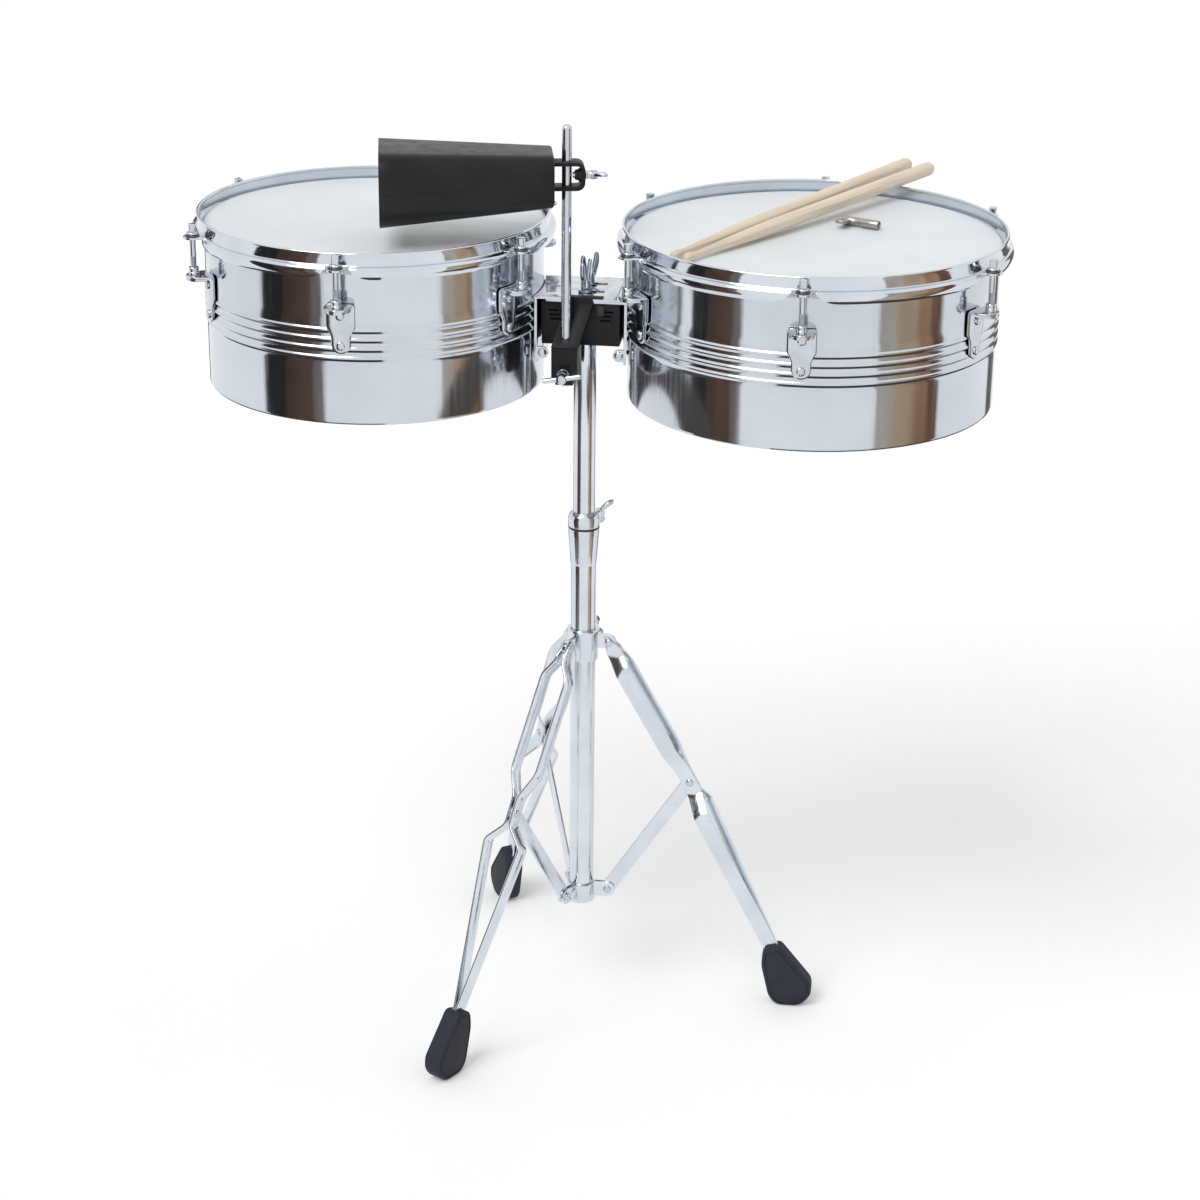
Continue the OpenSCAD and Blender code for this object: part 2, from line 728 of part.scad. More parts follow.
module bell_rod() {
    color([0.8, 0.81, 0.83])
        translate([rod_x, rod_y, rod_low])
            rotate_extrude()
                polygon([[0, 0], [bell_rod_r - 0.8, 0], [bell_rod_r, 0.8], [bell_rod_r, bell_rod_l - 3],
                    [bell_rod_r * 0.85, bell_rod_l - 1.3], [bell_rod_r * 0.5, bell_rod_l - 0.3],
                    [0, bell_rod_l]]);
}

// turns the cowbell and what holds it round the rod
module round_rod() {
    translate([rod_x, rod_y, 0]) rotate([0, 0, bell_turn]) translate([-rod_x, -rod_y, 0]) children();
}

// a rounded slab across x, w front to back and h up from z
module bell_slab(x, w, h, z, r, t) {
    translate([x, rod_y - w / 2 + r, z + r])
        rotate([90, 0, 90])
            linear_extrude(t) offset(r = r, $fn = 40) square([w - 2 * r, h - 2 * r]);
}

module bell() {
    mouth = bell_x - bell_l;
    end_low = bell_top - bell_drop - bell_end_h;
    color([0.09, 0.09, 0.1])
        difference() {
            hull() {
                bell_slab(mouth, bell_w, bell_h, bell_top - bell_h, bell_edge, 0.4);
                bell_slab(bell_x - 2, bell_end_w, bell_end_h, end_low, bell_end_edge, 2);
            }
            hull() {
                bell_slab(mouth - 0.4, bell_w - 2 * bell_t, bell_h - 2 * bell_t,
                    bell_top - bell_h + bell_t, bell_edge - bell_t, 0.5);
                bell_slab(bell_x - 2 - bell_t, bell_end_w - 2 * bell_t, bell_end_h - 2 * bell_t,
                    end_low + bell_t, bell_end_edge - bell_t, 0.4);
            }
        }
}

module bell_strap() {
    z = bell_z - loop_h / 2;
    color([0.07, 0.07, 0.08])
        difference() {
            translate([bell_x, rod_y - loop_d / 2, z]) cube([loop_x - bell_x, loop_d, loop_h]);
            translate([bell_x - 1, rod_y - loop_d, z + loop_t])
                cube([loop_x - bell_x - loop_t + 1, 2 * loop_d, loop_h - 2 * loop_t]);
            translate([rod_x, rod_y, z - 1]) cylinder(r = bell_rod_r + run, h = loop_h + 2);
            translate([rod_x, rod_y, bell_z]) rotate([0, 90, 0])
                cylinder(r = bolt_r + run, h = 40, $fn = 32);
        }
}

module bell_nut() {
    color([0.05, 0.05, 0.06])
        translate([loop_x - loop_t, rod_y, bell_z])
            rotate([0, -90, 0])
                difference() {
                    cylinder(r1 = 7, r2 = 4.6, h = 6);
                    translate([0, 0, -1]) cylinder(r = bolt_r + run, h = 10, $fn = 32);
                }
}

module bell_bolt() {
    color([0.72, 0.73, 0.75])
        translate([loop_x, rod_y, bell_z])
            rotate([0, 90, 0]) {
                translate([0, 0, 6]) rotate([0, 0, 80]) wing_bolt(bolt_r, 17.6, 4.6, 6, 27, 15, 3.2);
                cylinder(r = 4.2, h = 7, $fn = 40);
            }
}

// ---- loose pieces on the big head ----

// distance along a stick from its tip to the far side of the rim
function cross(tip, turn) =
    let (p = tip - [big_x, 0], u = [cos(turn), sin(turn)], b = p * u)
    -b + sqrt(b * b - p * p + (big_r + 5.4) * (big_r + 5.4));

module stick(tip, turn) {
    tip_r = 4.4;
    rise = asin((rim_h - 0.6 + stick_r - tip_r) / cross(tip, turn));
    color([0.88, 0.78, 0.62])
        translate([tip[0], tip[1], head_top + tip_r + gap])
            rotate([0, 0, turn])
                rotate([0, 90 - rise, 0])
                    rotate_extrude($fn = 40)
                        polygon([[0, -4.4], [2.2, -4], [3.8, -2.2], [tip_r, 0.5], [tip_r, 4.5], [3.6, 8],
                            [2.9, 10.5], [3, 13], [stick_r * 0.72, 60], [stick_r - 0.3, 110], [stick_r, 130],
                            [stick_r, stick_l - 8], [stick_r - 1.2, stick_l - 5.4], [0, stick_l - 4.4]]);
}

key_turn = -25;
key_tilt = 8;

module key_place() {
    translate([244.7, 49, head_top + 4.5 + gap]) rotate([0, 0, key_turn]) rotate([0, 90, 0]) children();
}

module key_barrel() {
    color([0.75, 0.74, 0.7])
        key_place()
            difference() {
                rotate_extrude($fn = 40)
                    polygon([[0, 0], [3.6, 0], [4.4, 0.8], [4.4, 12], [3.9, 13], [3.9, 20], [4.5, 21],
                        [4.5, 39], [0, 39]]);
                translate([-3, -3, 27]) cube([6, 6, 14]);
            }
}

module key_wings() {
    color([0.75, 0.74, 0.7])
        key_place()
            rotate([0, 0, -key_tilt])
                difference() {
                    translate([1.7, 0, 6.5])
                        rotate([0, -90, 0])
                            linear_extrude(3.4)
                                polygon([[-5, 3], [-6, key_span / 2 - 4], [-3.5, key_span / 2],
                                    [3, key_span / 2], [5, key_span / 2 - 4], [4, 3], [4, -3],
                                    [5, -key_span / 2 + 4],
                                    [3, -key_span / 2], [-3.5, -key_span / 2], [-6, -key_span / 2 + 4], [-5, -3]]);
                    translate([0, 0, -10]) cylinder(r = 4.4 + run, h = 40, $fn = 40);
                }
}

// ---- placing of the two drums ----

module big(c) {
    color(c) translate([big_x, 0, drum_z]) children();
}

module small(c) {
    color(c) translate([small_x, 0, drum_z]) children();
}

chrome = [0.82, 0.83, 0.85];

module big_shell() {
    big(chrome) shell(big_r)
        translate([-big_x, 0, -drum_z]) plate_holes(big_r, big_x) translate([0, 0, -8])
            cylinder(r = screw_r + 0.2, h = 16, $fn = 24);
}

module small_shell() {
    small(chrome) shell(small_r)
        rotate([0, 0, 180])
            translate([small_x, 0, -drum_z]) plate_holes(small_r, -small_x) translate([0, 0, -8])
                cylinder(r = screw_r + 0.2, h = 16, $fn = 24);
}

module big_plate() {
    color(chrome) saddle(big_r, big_x, flange_1, bolt_x - slot_travel, bolt_x);
}

module small_plate() {
    color(chrome) rotate([0, 0, 180]) saddle(small_r, -small_x, flange_2, -bolt_x - slot_travel, -bolt_x);
}

translate([shift_x, shift_y, 0]) {
    main_tube();
    bottom_collar();
    bottom_rivets();
    height_clamp();
    clamp_ring();
    clamp_head();
    height_bolt();
    leg_collar();
    leg_collar_bolt();
    leg(0);  // leg_1
    leg(120);  // leg_2
    leg(240);  // leg_3
    leg_rivets(0);  // leg_rivets_1
    leg_rivets(120);  // leg_rivets_2
    leg_rivets(240);  // leg_rivets_3
    foot(0);  // foot_1
    foot(120);  // foot_2
    foot(240);  // foot_3
    brace(0);  // brace_1
    brace(120);  // brace_2
    brace(240);  // brace_3
    upper_tube();
    bracket_box();
    bracket_clip();
    plate_bolt(-1, 75);  // plate_bolt_front
    plate_bolt(1, 55);  // plate_bolt_rear
    big_plate();
    color([0.7, 0.71, 0.73]) plate_screws(big_r, big_x);  // big_plate_screws
    big_shell();
    big([0.9, 0.92, 0.93]) head(big_r);  // big_head
    big(chrome) hoop(big_r);  // big_hoop
    big(chrome) lugs(big_r);  // big_lugs
    big([0.7, 0.71, 0.73]) lug_screws(big_r);  // big_lug_screws
    big([0.7, 0.71, 0.73]) lug_nuts(big_r);  // big_lug_nuts
    big([0.3, 0.3, 0.32]) washers(big_r);  // big_washers
    big([0.76, 0.77, 0.79]) rods(big_r);  // big_rods
    small_plate();
    color([0.7, 0.71, 0.73]) rotate([0, 0, 180]) plate_screws(small_r, -small_x);  // small_plate_screws
    small_shell();
    small([0.9, 0.92, 0.93]) head(small_r);  // small_head
    small(chrome) hoop(small_r);  // small_hoop
    small(chrome) lugs(small_r);  // small_lugs
    small([0.7, 0.71, 0.73]) lug_screws(small_r);  // small_lug_screws
    small([0.7, 0.71, 0.73]) lug_nuts(small_r);  // small_lug_nuts
    small([0.3, 0.3, 0.32]) washers(small_r);  // small_washers
    small([0.76, 0.77, 0.79]) rods(small_r);  // small_rods
    bell_arm();
    arm_bushing();
    arm_bolt();
    bell_rod();
    round_rod() bell();
    round_rod() bell_strap();
    round_rod() bell_nut();
    round_rod() bell_bolt();
    stick(stick_1_tip, stick_1_turn);  // stick_1
    stick(stick_2_tip, stick_2_turn);  // stick_2
    key_barrel();
    key_wings();
}
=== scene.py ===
"""Two chromed drums, a cowbell and loose sticks on a folding tripod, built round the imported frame."""

import math

import bmesh
import bpy
from bpy.props import FloatProperty, FloatVectorProperty, IntProperty, PointerProperty
from mathutils import Matrix, Vector


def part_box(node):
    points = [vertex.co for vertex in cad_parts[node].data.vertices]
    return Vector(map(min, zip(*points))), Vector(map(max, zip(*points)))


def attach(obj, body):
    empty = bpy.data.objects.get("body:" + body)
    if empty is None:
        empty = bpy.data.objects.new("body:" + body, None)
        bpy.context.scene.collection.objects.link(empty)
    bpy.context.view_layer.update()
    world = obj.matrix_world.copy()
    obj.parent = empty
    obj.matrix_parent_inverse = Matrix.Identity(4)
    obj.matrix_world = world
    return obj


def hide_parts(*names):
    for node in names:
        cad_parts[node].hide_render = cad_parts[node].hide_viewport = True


bl_info = {
    "name": "Timbales",
    "version": (1, 0, 0),
    "blender": (4, 5, 0),
    "location": "View3D > Sidebar > Timbales",
    "description": "Builds a pair of timbales with their stand, cowbell, sticks and drum key",
    "category": "Add Mesh",
}

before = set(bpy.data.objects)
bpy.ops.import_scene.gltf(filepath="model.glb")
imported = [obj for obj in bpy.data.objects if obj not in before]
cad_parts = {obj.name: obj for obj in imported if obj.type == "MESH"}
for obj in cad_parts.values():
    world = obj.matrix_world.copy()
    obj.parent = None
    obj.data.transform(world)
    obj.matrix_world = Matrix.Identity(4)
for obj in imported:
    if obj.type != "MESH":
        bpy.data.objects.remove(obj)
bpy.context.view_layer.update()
MM = 0.001

ROD_AZIMUTHS = [30 + 60 * i for i in range(6)]
LEG_AZIMUTHS = {1: 0, 2: 120, 3: 240}


# ---------------------------------------------------------------- places read from the frame


def corners_mm(node):
    """Lowest and highest corner of a frame node, in millimetres."""
    low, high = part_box(node)
    return low / MM, high / MM


def middle_mm(node):
    low, high = corners_mm(node)
    return (low + high) / 2


BEAD_OUT = 1.5
POST = Vector((middle_mm("main_tube").x, middle_mm("main_tube").y, 0))


class Drum:
    """Where one drum is, and its radius and depth, in millimetres."""

    def __init__(self, name):
        low, high = corners_mm(f"{name}_shell")
        self.name = name
        self.body = f"{name}_drum"
        self.centre = Vector(((low.x + high.x) / 2, (low.y + high.y) / 2, low.z))
        self.radius = (high.x - low.x) / 2 - BEAD_OUT
        self.depth = high.z - low.z


DRUMS = [Drum("big"), Drum("small")]


# ---------------------------------------------------------------- sizes and colours


class DrumSizes(bpy.types.PropertyGroup):
    shell_wall: FloatProperty(
        name="Shell wall", description="Thickness of the rolled shell, in millimetres", default=1.6, min=0.8, max=3
    )
    bead_spacing: FloatProperty(
        name="Bead spacing", description="Distance between the pressed beads, in millimetres", default=9, min=7, max=14
    )
    first_bead: FloatProperty(
        name="First bead", description="Height of the lowest bead above the open bottom, in millimetres",
        default=65, min=40, max=90,
    )
    rim_height: FloatProperty(
        name="Rim height", description="Height of the hoop's edge above the head, in millimetres",
        default=12, min=8, max=16,
    )
    skirt_flare: FloatProperty(
        name="Skirt flare", description="How far the hoop's skirt stands out of the shell, in millimetres",
        default=12, min=9, max=12,
    )
    rod_distance: FloatProperty(
        name="Rod distance", description="Distance from the shell to a tension rod, in millimetres",
        default=17, min=15, max=20,
    )
    lug_width: FloatProperty(
        name="Lug width", description="Width of a pressed lug at its top, in millimetres", default=27, min=20, max=32
    )


class StandSizes(bpy.types.PropertyGroup):
    strap_width: FloatProperty(
        name="Strap width", description="Width of a flat leg strap, in millimetres", default=15.6, min=10, max=18
    )
    strap_thickness: FloatProperty(
        name="Strap thickness", description="Thickness of a flat leg strap, in millimetres", default=2.2, min=1, max=3
    )
    upper_bow: FloatProperty(
        name="Upper bow", description="Sideways bow of the upper straps, in millimetres", default=14, min=6, max=18
    )
    lower_bow: FloatProperty(
        name="Lower bow", description="Sideways bow of the lower straps, in millimetres", default=21, min=8, max=25
    )


class BellSizes(bpy.types.PropertyGroup):
    wall: FloatProperty(
        name="Bell wall", description="Sheet thickness of the cowbell, in millimetres", default=1.6, min=1, max=3
    )
    corner: FloatProperty(
        name="Bell corner", description="Corner radius at the bell's mouth, in millimetres", default=20, min=6, max=22
    )
    mouth_width: FloatProperty(
        name="Mouth width", description="Width of the bell's mouth, front to back", default=0.098, unit="LENGTH"
    )
    length: FloatProperty(
        name="Bell length", description="Length of the bell from mouth to closed end", default=0.163, unit="LENGTH"
    )
    turn: FloatProperty(
        name="Bell turn", description="Turn of the cowbell round its rod, in degrees", default=11, min=0, max=30
    )


class FinishColours(bpy.types.PropertyGroup):
    chrome: FloatVectorProperty(
        name="Chrome", description="Tint of the chrome plate", subtype="COLOR", size=3, min=0, max=1,
        default=(0.60, 0.64, 0.69),
    )
    film: FloatVectorProperty(
        name="Film", description="Colour of the coated drum heads", subtype="COLOR", size=3, min=0, max=1,
        default=(0.80, 0.84, 0.865),
    )
    black: FloatVectorProperty(
        name="Black paint", description="Colour of the bracket's powder coat", subtype="COLOR", size=3, min=0, max=1,
        default=(0.011, 0.011, 0.013),
    )
    bell: FloatVectorProperty(
        name="Bell paint", description="Colour of the cowbell's paint", subtype="COLOR", size=3, min=0, max=1,
        default=(0.013, 0.013, 0.015),
    )
    rubber: FloatVectorProperty(
        name="Rubber", description="Colour of the feet", subtype="COLOR", size=3, min=0, max=1,
        default=(0.014, 0.017, 0.026),
    )
    maple: FloatVectorProperty(
        name="Maple", description="Colour of the sticks", subtype="COLOR", size=3, min=0, max=1,
        default=(0.76, 0.645, 0.51),
    )
    nickel: FloatVectorProperty(
        name="Nickel", description="Colour of the drum key", subtype="COLOR", size=3, min=0, max=1,
        default=(0.40, 0.38, 0.35),
    )


class StageSettings(bpy.types.PropertyGroup):
    sun: FloatProperty(name="Sun", description="Strength of the soft key light", default=1.35, min=0, max=5)
    sky: FloatProperty(name="Sky", description="Strength of the even light from all sides", default=0.63, min=0, max=2)
    floor_size: FloatProperty(
        name="Floor size", description="Side of the pale floor", default=60, min=4, max=100, unit="LENGTH"
    )
    lens: FloatProperty(name="Lens", description="Focal length of the camera", default=84.38, min=20, max=200)
    rings: IntProperty(
        name="Rings", description="Number of facets round each drum", default=192, min=48, max=360
    )


def sizes():
    return bpy.context.scene.timbale_drums


def stand():
    return bpy.context.scene.timbale_stand


def bell_sizes():
    return bpy.context.scene.timbale_bell


def stage_settings():
    return bpy.context.scene.timbale_stage


def colours():
    return bpy.context.scene.timbale_colours


# ---------------------------------------------------------------- mesh helpers, all in millimetres


def new_piece(name, verts, faces, smooth=35):
    """A mesh piece from points in millimetres, with loose doubles merged and normals outward."""
    mesh = bpy.data.meshes.new(name)
    work = bmesh.new()
    made = [work.verts.new(Vector(v) * MM) for v in verts]
    for face in faces:
        if len(set(face)) > 2:
            try:
                work.faces.new([made[i] for i in face])
            except ValueError:
                continue
    bmesh.ops.remove_doubles(work, verts=work.verts, dist=1e-6)
    bmesh.ops.dissolve_degenerate(work, edges=work.edges, dist=1e-7)
    bmesh.ops.recalc_face_normals(work, faces=work.faces)
    work.to_mesh(mesh)
    work.free()
    piece = bpy.data.objects.new(name, mesh)
    bpy.context.scene.collection.objects.link(piece)
    shade(piece, smooth)
    return piece


def shade(piece, angle):
    """Smooth shading with edges sharper than the angle kept crisp."""
    mesh = piece.data
    mesh.polygons.foreach_set("use_smooth", [True] * len(mesh.polygons))
    mesh.set_sharp_from_angle(angle=math.radians(angle))


def moved(points, matrix):
    return [matrix @ Vector(p) for p in points]


def lathe_data(profile, steps=48, closed=False):
    """Points and faces of an outline (radius, height) turned round z."""
    verts = []
    for i in range(steps):
        turn = 2 * math.pi * i / steps
        verts += [(r * math.cos(turn), r * math.sin(turn), z) for r, z in profile]
    n = len(profile)
    spans = n if closed else n - 1
    faces = []
    for i in range(steps):
        a, b = i * n, ((i + 1) % steps) * n
        faces += [(a + j, b + j, b + (j + 1) % n, a + (j + 1) % n) for j in range(spans)]
    return verts, faces


def ring_faces(rings, n):
    """Side faces between rings of n points each, one ring after another."""
    faces = []
    for k in range(rings - 1):
        a, b = k * n, (k + 1) * n
        faces += [(a + j, a + (j + 1) % n, b + (j + 1) % n, b + j) for j in range(n)]
    return faces


def slab_data(outline, low, high, edge=0.0, rings=2):
    """An outline in x, y drawn up from low to high, with a rounded rim of the given size."""
    centre = Vector((sum(p[0] for p in outline) / len(outline), sum(p[1] for p in outline) / len(outline)))
    inward = offsets(outline)
    levels = [(0, low)] if edge == 0 else []
    if edge > 0:
        for k in range(rings + 1):
            turn = math.pi / 2 * k / rings
            levels.append((edge * (1 - math.sin(turn)), low + edge * (1 - math.cos(turn))))
        for k in range(rings + 1):
            turn = math.pi / 2 * k / rings
            levels.append((edge * (1 - math.cos(turn)), high - edge * (1 - math.sin(turn))))
    else:
        levels.append((0, high))
    verts = []
    for inset, z in levels:
        verts += [(p[0] + d[0] * inset, p[1] + d[1] * inset, z) for p, d in zip(outline, inward)]
    n = len(outline)
    faces = ring_faces(len(levels), n)
    faces.append(tuple(reversed(range(n))))
    faces.append(tuple(range((len(levels) - 1) * n, len(levels) * n)))
    return verts, faces


def offsets(outline):
    """For each corner of a closed outline, the step that moves both its sides one unit inward."""
    n = len(outline)
    sides = zip(outline, [*outline[1:], outline[0]])
    area = sum(a[0] * b[1] - b[0] * a[1] for a, b in sides)
    side = 1 if area > 0 else -1
    steps = []
    for i in range(n):
        before = Vector(outline[i]) - Vector(outline[i - 1])
        after = Vector(outline[(i + 1) % n]) - Vector(outline[i])
        u = Vector((-before.y, before.x)).normalized() * side
        v = Vector((-after.y, after.x)).normalized() * side
        scale = max(1 + u.dot(v), 0.35)
        steps.append((u + v) / scale)
    return steps


def joined(parts):
    """Several (points, faces) as one."""
    verts, faces = [], []
    for points, sides in parts:
        start = len(verts)
        verts += list(points)
        faces += [tuple(start + i for i in side) for side in sides]
    return verts, faces


def placed(part, matrix):
    return moved(part[0], matrix), part[1]


def rounded_path(points, radius, steps=5):
    """A bent line of points with each corner eased into a short curve."""
    points = [Vector(p) for p in points]
    path = [points[0]]
    for before, corner, after in zip(points, points[1:], points[2:]):
        cut = min(radius, (corner - before).length * 0.49, (after - corner).length * 0.49)
        start = corner + (before - corner).normalized() * cut
        end = corner + (after - corner).normalized() * cut
        for k in range(steps + 1):
            t = k / steps
            path.append(start * (1 - t) ** 2 + corner * 2 * t * (1 - t) + end * t * t)
    path.append(points[-1])
    return path


def arc(centre, radius, start, end, steps):
    """Points on an arc in the plane, angles in degrees."""
    turns = [math.radians(start + (end - start) * k / steps) for k in range(steps + 1)]
    return [(centre[0] + radius * math.cos(t), centre[1] + radius * math.sin(t)) for t in turns]


def rounded_box(width, height, radius, steps=6):
    """Outline of a rectangle round the origin with round corners."""
    w, h = width / 2 - radius, height / 2 - radius
    return (
        arc((w, h), radius, 0, 90, steps)
        + arc((-w, h), radius, 90, 180, steps)
        + arc((-w, -h), radius, 180, 270, steps)
        + arc((w, -h), radius, 270, 360, steps)
    )


def turned(azimuth):
    return Matrix.Rotation(math.radians(azimuth), 4, "Z")


def at(point):
    return Matrix.Translation(Vector(point))


def along(direction):
    """Turns z onto the given direction."""
    return Vector(direction).to_track_quat("Z", "Y").to_matrix().to_4x4()


def softened(node, width, segments=2, angle=28):
    """A frame node's shape with its flat faces cleaned and its edges rounded off."""
    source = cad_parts[node].data
    work = bmesh.new()
    work.from_mesh(source)
    bmesh.ops.remove_doubles(work, verts=work.verts, dist=2e-6)
    bmesh.ops.dissolve_limit(
        work, angle_limit=math.radians(0.6), verts=work.verts, edges=work.edges, delimit={"NORMAL"}
    )
    bmesh.ops.recalc_face_normals(work, faces=work.faces)
    mesh = bpy.data.meshes.new(f"{node}_soft")
    work.to_mesh(mesh)
    work.free()
    piece = bpy.data.objects.new(f"{node}_soft", mesh)
    bpy.context.scene.collection.objects.link(piece)
    if width > 0:
        bevel = piece.modifiers.new("rounded_edges", "BEVEL")
        bevel.width = width * MM
        bevel.segments = segments
        bevel.limit_method = "ANGLE"
        bevel.angle_limit = math.radians(angle)
        bevel.use_clamp_overlap = True
        bevel.miter_outer = "MITER_ARC"
        settle(piece)
    shade(piece, 40)
    return piece


def settle(piece):
    """Turns a piece's modifiers into its mesh."""
    graph = bpy.context.evaluated_depsgraph_get()
    graph.update()
    mesh = bpy.data.meshes.new_from_object(piece.evaluated_get(graph))
    old = piece.data
    piece.modifiers.clear()
    piece.data = mesh
    bpy.data.meshes.remove(old)


def finish_piece(piece, body, slot, material, *nodes):
    """Gives a piece its finish, its body and the frame nodes that it stands for."""
    piece.data.materials.clear()
    piece.data.materials.append(material)
    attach(piece, body)
    if nodes:
        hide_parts(*nodes)
    return piece


# ---------------------------------------------------------------- materials


def material_nodes(name):
    """A new node material: returns it with its nodes, its links, its shader and its object coordinates."""
    material = bpy.data.materials.new(name)
    material.use_nodes = True
    tree = material.node_tree
    shader = tree.nodes["Principled BSDF"]
    coordinates = tree.nodes.new("ShaderNodeTexCoord").outputs["Object"]
    return material, tree, shader, coordinates


def noise(tree, vector, scale, detail=4, stretch=(1, 1, 1)):
    """Noise at a scale in features per metre, stretched along the axes."""
    mapping = tree.nodes.new("ShaderNodeMapping")
    mapping.inputs["Scale"].default_value = stretch
    tree.links.new(vector, mapping.inputs["Vector"])
    texture = tree.nodes.new("ShaderNodeTexNoise")
    texture.inputs["Scale"].default_value = scale
    texture.inputs["Detail"].default_value = detail
    tree.links.new(mapping.outputs["Vector"], texture.inputs["Vector"])
    return texture.outputs["Fac"]


def ramp(tree, value, low, high, low_at=0.35, high_at=0.65):
    """Two colours spread over part of a value's range."""
    node = tree.nodes.new("ShaderNodeValToRGB")
    node.color_ramp.elements[0].position = low_at
    node.color_ramp.elements[0].color = (*low, 1)
    node.color_ramp.elements[1].position = high_at
    node.color_ramp.elements[1].color = (*high, 1)
    tree.links.new(value, node.inputs["Fac"])
    return node.outputs["Color"]


def spread(tree, value, low, high):
    """A value from 0 to 1 spread from low to high."""
    node = tree.nodes.new("ShaderNodeMapRange")
    node.inputs["From Min"].default_value = 0.3
    node.inputs["From Max"].default_value = 0.7
    node.inputs["To Min"].default_value = low
    node.inputs["To Max"].default_value = high
    tree.links.new(value, node.inputs["Value"])
    return node.outputs["Result"]


def bump(tree, shader, value, strength, depth):
    """Surface relief of the given depth in metres."""
    node = tree.nodes.new("ShaderNodeBump")
    node.inputs["Strength"].default_value = strength
    node.inputs["Distance"].default_value = depth
    tree.links.new(value, node.inputs["Height"])
    if shader.inputs["Normal"].is_linked:
        tree.links.new(shader.inputs["Normal"].links[0].from_socket, node.inputs["Normal"])
    tree.links.new(node.outputs["Normal"], shader.inputs["Normal"])


def larger(tree, first, second):
    """The larger of two values."""
    node = tree.nodes.new("ShaderNodeMath")
    node.operation = "MAXIMUM"
    tree.links.new(first, node.inputs[0])
    tree.links.new(second, node.inputs[1])
    return node.outputs[0]


def scaled(colour, factor):
    return tuple(min(1.0, c * factor) for c in colour)


def plated_metal(name, colour, rough_low, rough_high, grain=(1, 1, 1), grain_depth=0.00002, haze_scale=18):
    """Polished plate with a thin haze, a faint polishing grain and slow waves in the sheet."""
    material, tree, shader, coordinates = material_nodes(name)
    shader.inputs["Metallic"].default_value = 1.0
    haze = noise(tree, coordinates, haze_scale, 5)
    tree.links.new(ramp(tree, haze, scaled(colour, 0.93), scaled(colour, 1.05)), shader.inputs["Base Color"])
    marks = noise(tree, coordinates, 260, 3, grain)
    tree.links.new(spread(tree, marks, rough_low, rough_high), shader.inputs["Roughness"])
    bump(tree, shader, marks, 0.12, grain_depth)
    return material


def drum_chrome():
    material = plated_metal("drum_shell_chrome", colours().chrome, 0.07, 0.15, (1, 1, 0.06), 0.00003, 9)
    tree = material.node_tree
    shader = tree.nodes["Principled BSDF"]
    coordinates = next(n for n in tree.nodes if n.type == "TEX_COORD").outputs["Object"]
    waves = noise(tree, coordinates, 16, 1, (1, 1, 0.45))
    bump(tree, shader, waves, 0.22, 0.0009)
    return material


def hoop_chrome():
    return plated_metal("hoop_chrome", scaled(colours().chrome, 1.06), 0.04, 0.1)


def hardware_chrome():
    return plated_metal("hardware_chrome", scaled(colours().chrome, 0.97), 0.06, 0.16, haze_scale=60)


def stand_chrome():
    return plated_metal("stand_chrome", scaled(colours().chrome, 1.12), 0.1, 0.2, (1, 1, 0.08), haze_scale=25)


def aged_nickel():
    return plated_metal("aged_nickel", colours().nickel, 0.2, 0.36, (0.2, 1, 1), 0.00006, 140)


def dark_washer():
    return plated_metal("dark_washer", (0.14, 0.14, 0.15), 0.25, 0.4, haze_scale=120)


def painted_steel(name, colour, rough_low, rough_high, pebble):
    """Powder coat: fine orange peel, slow gloss change and faint dust."""
    material, tree, shader, coordinates = material_nodes(name)
    dust = noise(tree, coordinates, 22, 6)
    tree.links.new(ramp(tree, dust, scaled(colour, 0.85), scaled(colour, 1.3)), shader.inputs["Base Color"])
    tree.links.new(spread(tree, noise(tree, coordinates, 70, 3), rough_low, rough_high), shader.inputs["Roughness"])
    bump(tree, shader, noise(tree, coordinates, 900, 3), 0.25, pebble)
    return material


def bracket_paint():
    material = painted_steel("bracket_powder_coat", colours().black, 0.4, 0.52, 0.00008)
    material.node_tree.nodes["Principled BSDF"].inputs["Specular IOR Level"].default_value = 0.2
    return material


def bell_paint():
    material = painted_steel("bell_satin_paint", colours().bell, 0.3, 0.42, 0.00007)
    tree = material.node_tree
    shader = tree.nodes["Principled BSDF"]
    coordinates = next(n for n in tree.nodes if n.type == "TEX_COORD").outputs["Object"]
    bump(tree, shader, noise(tree, coordinates, 24, 2, (0.25, 1, 1)), 0.12, 0.0006)
    shader.inputs["Specular IOR Level"].default_value = 0.2
    return material


def moulded_nylon():
    return painted_steel("moulded_nylon", (0.016, 0.016, 0.018), 0.42, 0.56, 0.00004)


def foot_rubber():
    material, tree, shader, coordinates = material_nodes("foot_rubber")
    bloom = noise(tree, coordinates, 45, 5)
    colour = colours().rubber
    tree.links.new(ramp(tree, bloom, scaled(colour, 0.8), scaled(colour, 1.45)), shader.inputs["Base Color"])
    tree.links.new(spread(tree, bloom, 0.62, 0.78), shader.inputs["Roughness"])
    bump(tree, shader, noise(tree, coordinates, 1400, 2), 0.3, 0.0001)
    shader.inputs["Specular IOR Level"].default_value = 0.4
    return material


def coated_film():
    """Coated polyester: milky, slightly mottled, with a fine tooth."""
    material, tree, shader, coordinates = material_nodes("coated_film")
    colour = colours().film
    mottle = noise(tree, coordinates, 14, 6)
    tree.links.new(ramp(tree, mottle, scaled(colour, 0.975), scaled(colour, 1.02)), shader.inputs["Base Color"])
    tree.links.new(spread(tree, noise(tree, coordinates, 40, 3), 0.38, 0.5), shader.inputs["Roughness"])
    bump(tree, shader, noise(tree, coordinates, 1600, 2), 0.15, 0.00005)
    shader.inputs["Specular IOR Level"].default_value = 0.45
    return material


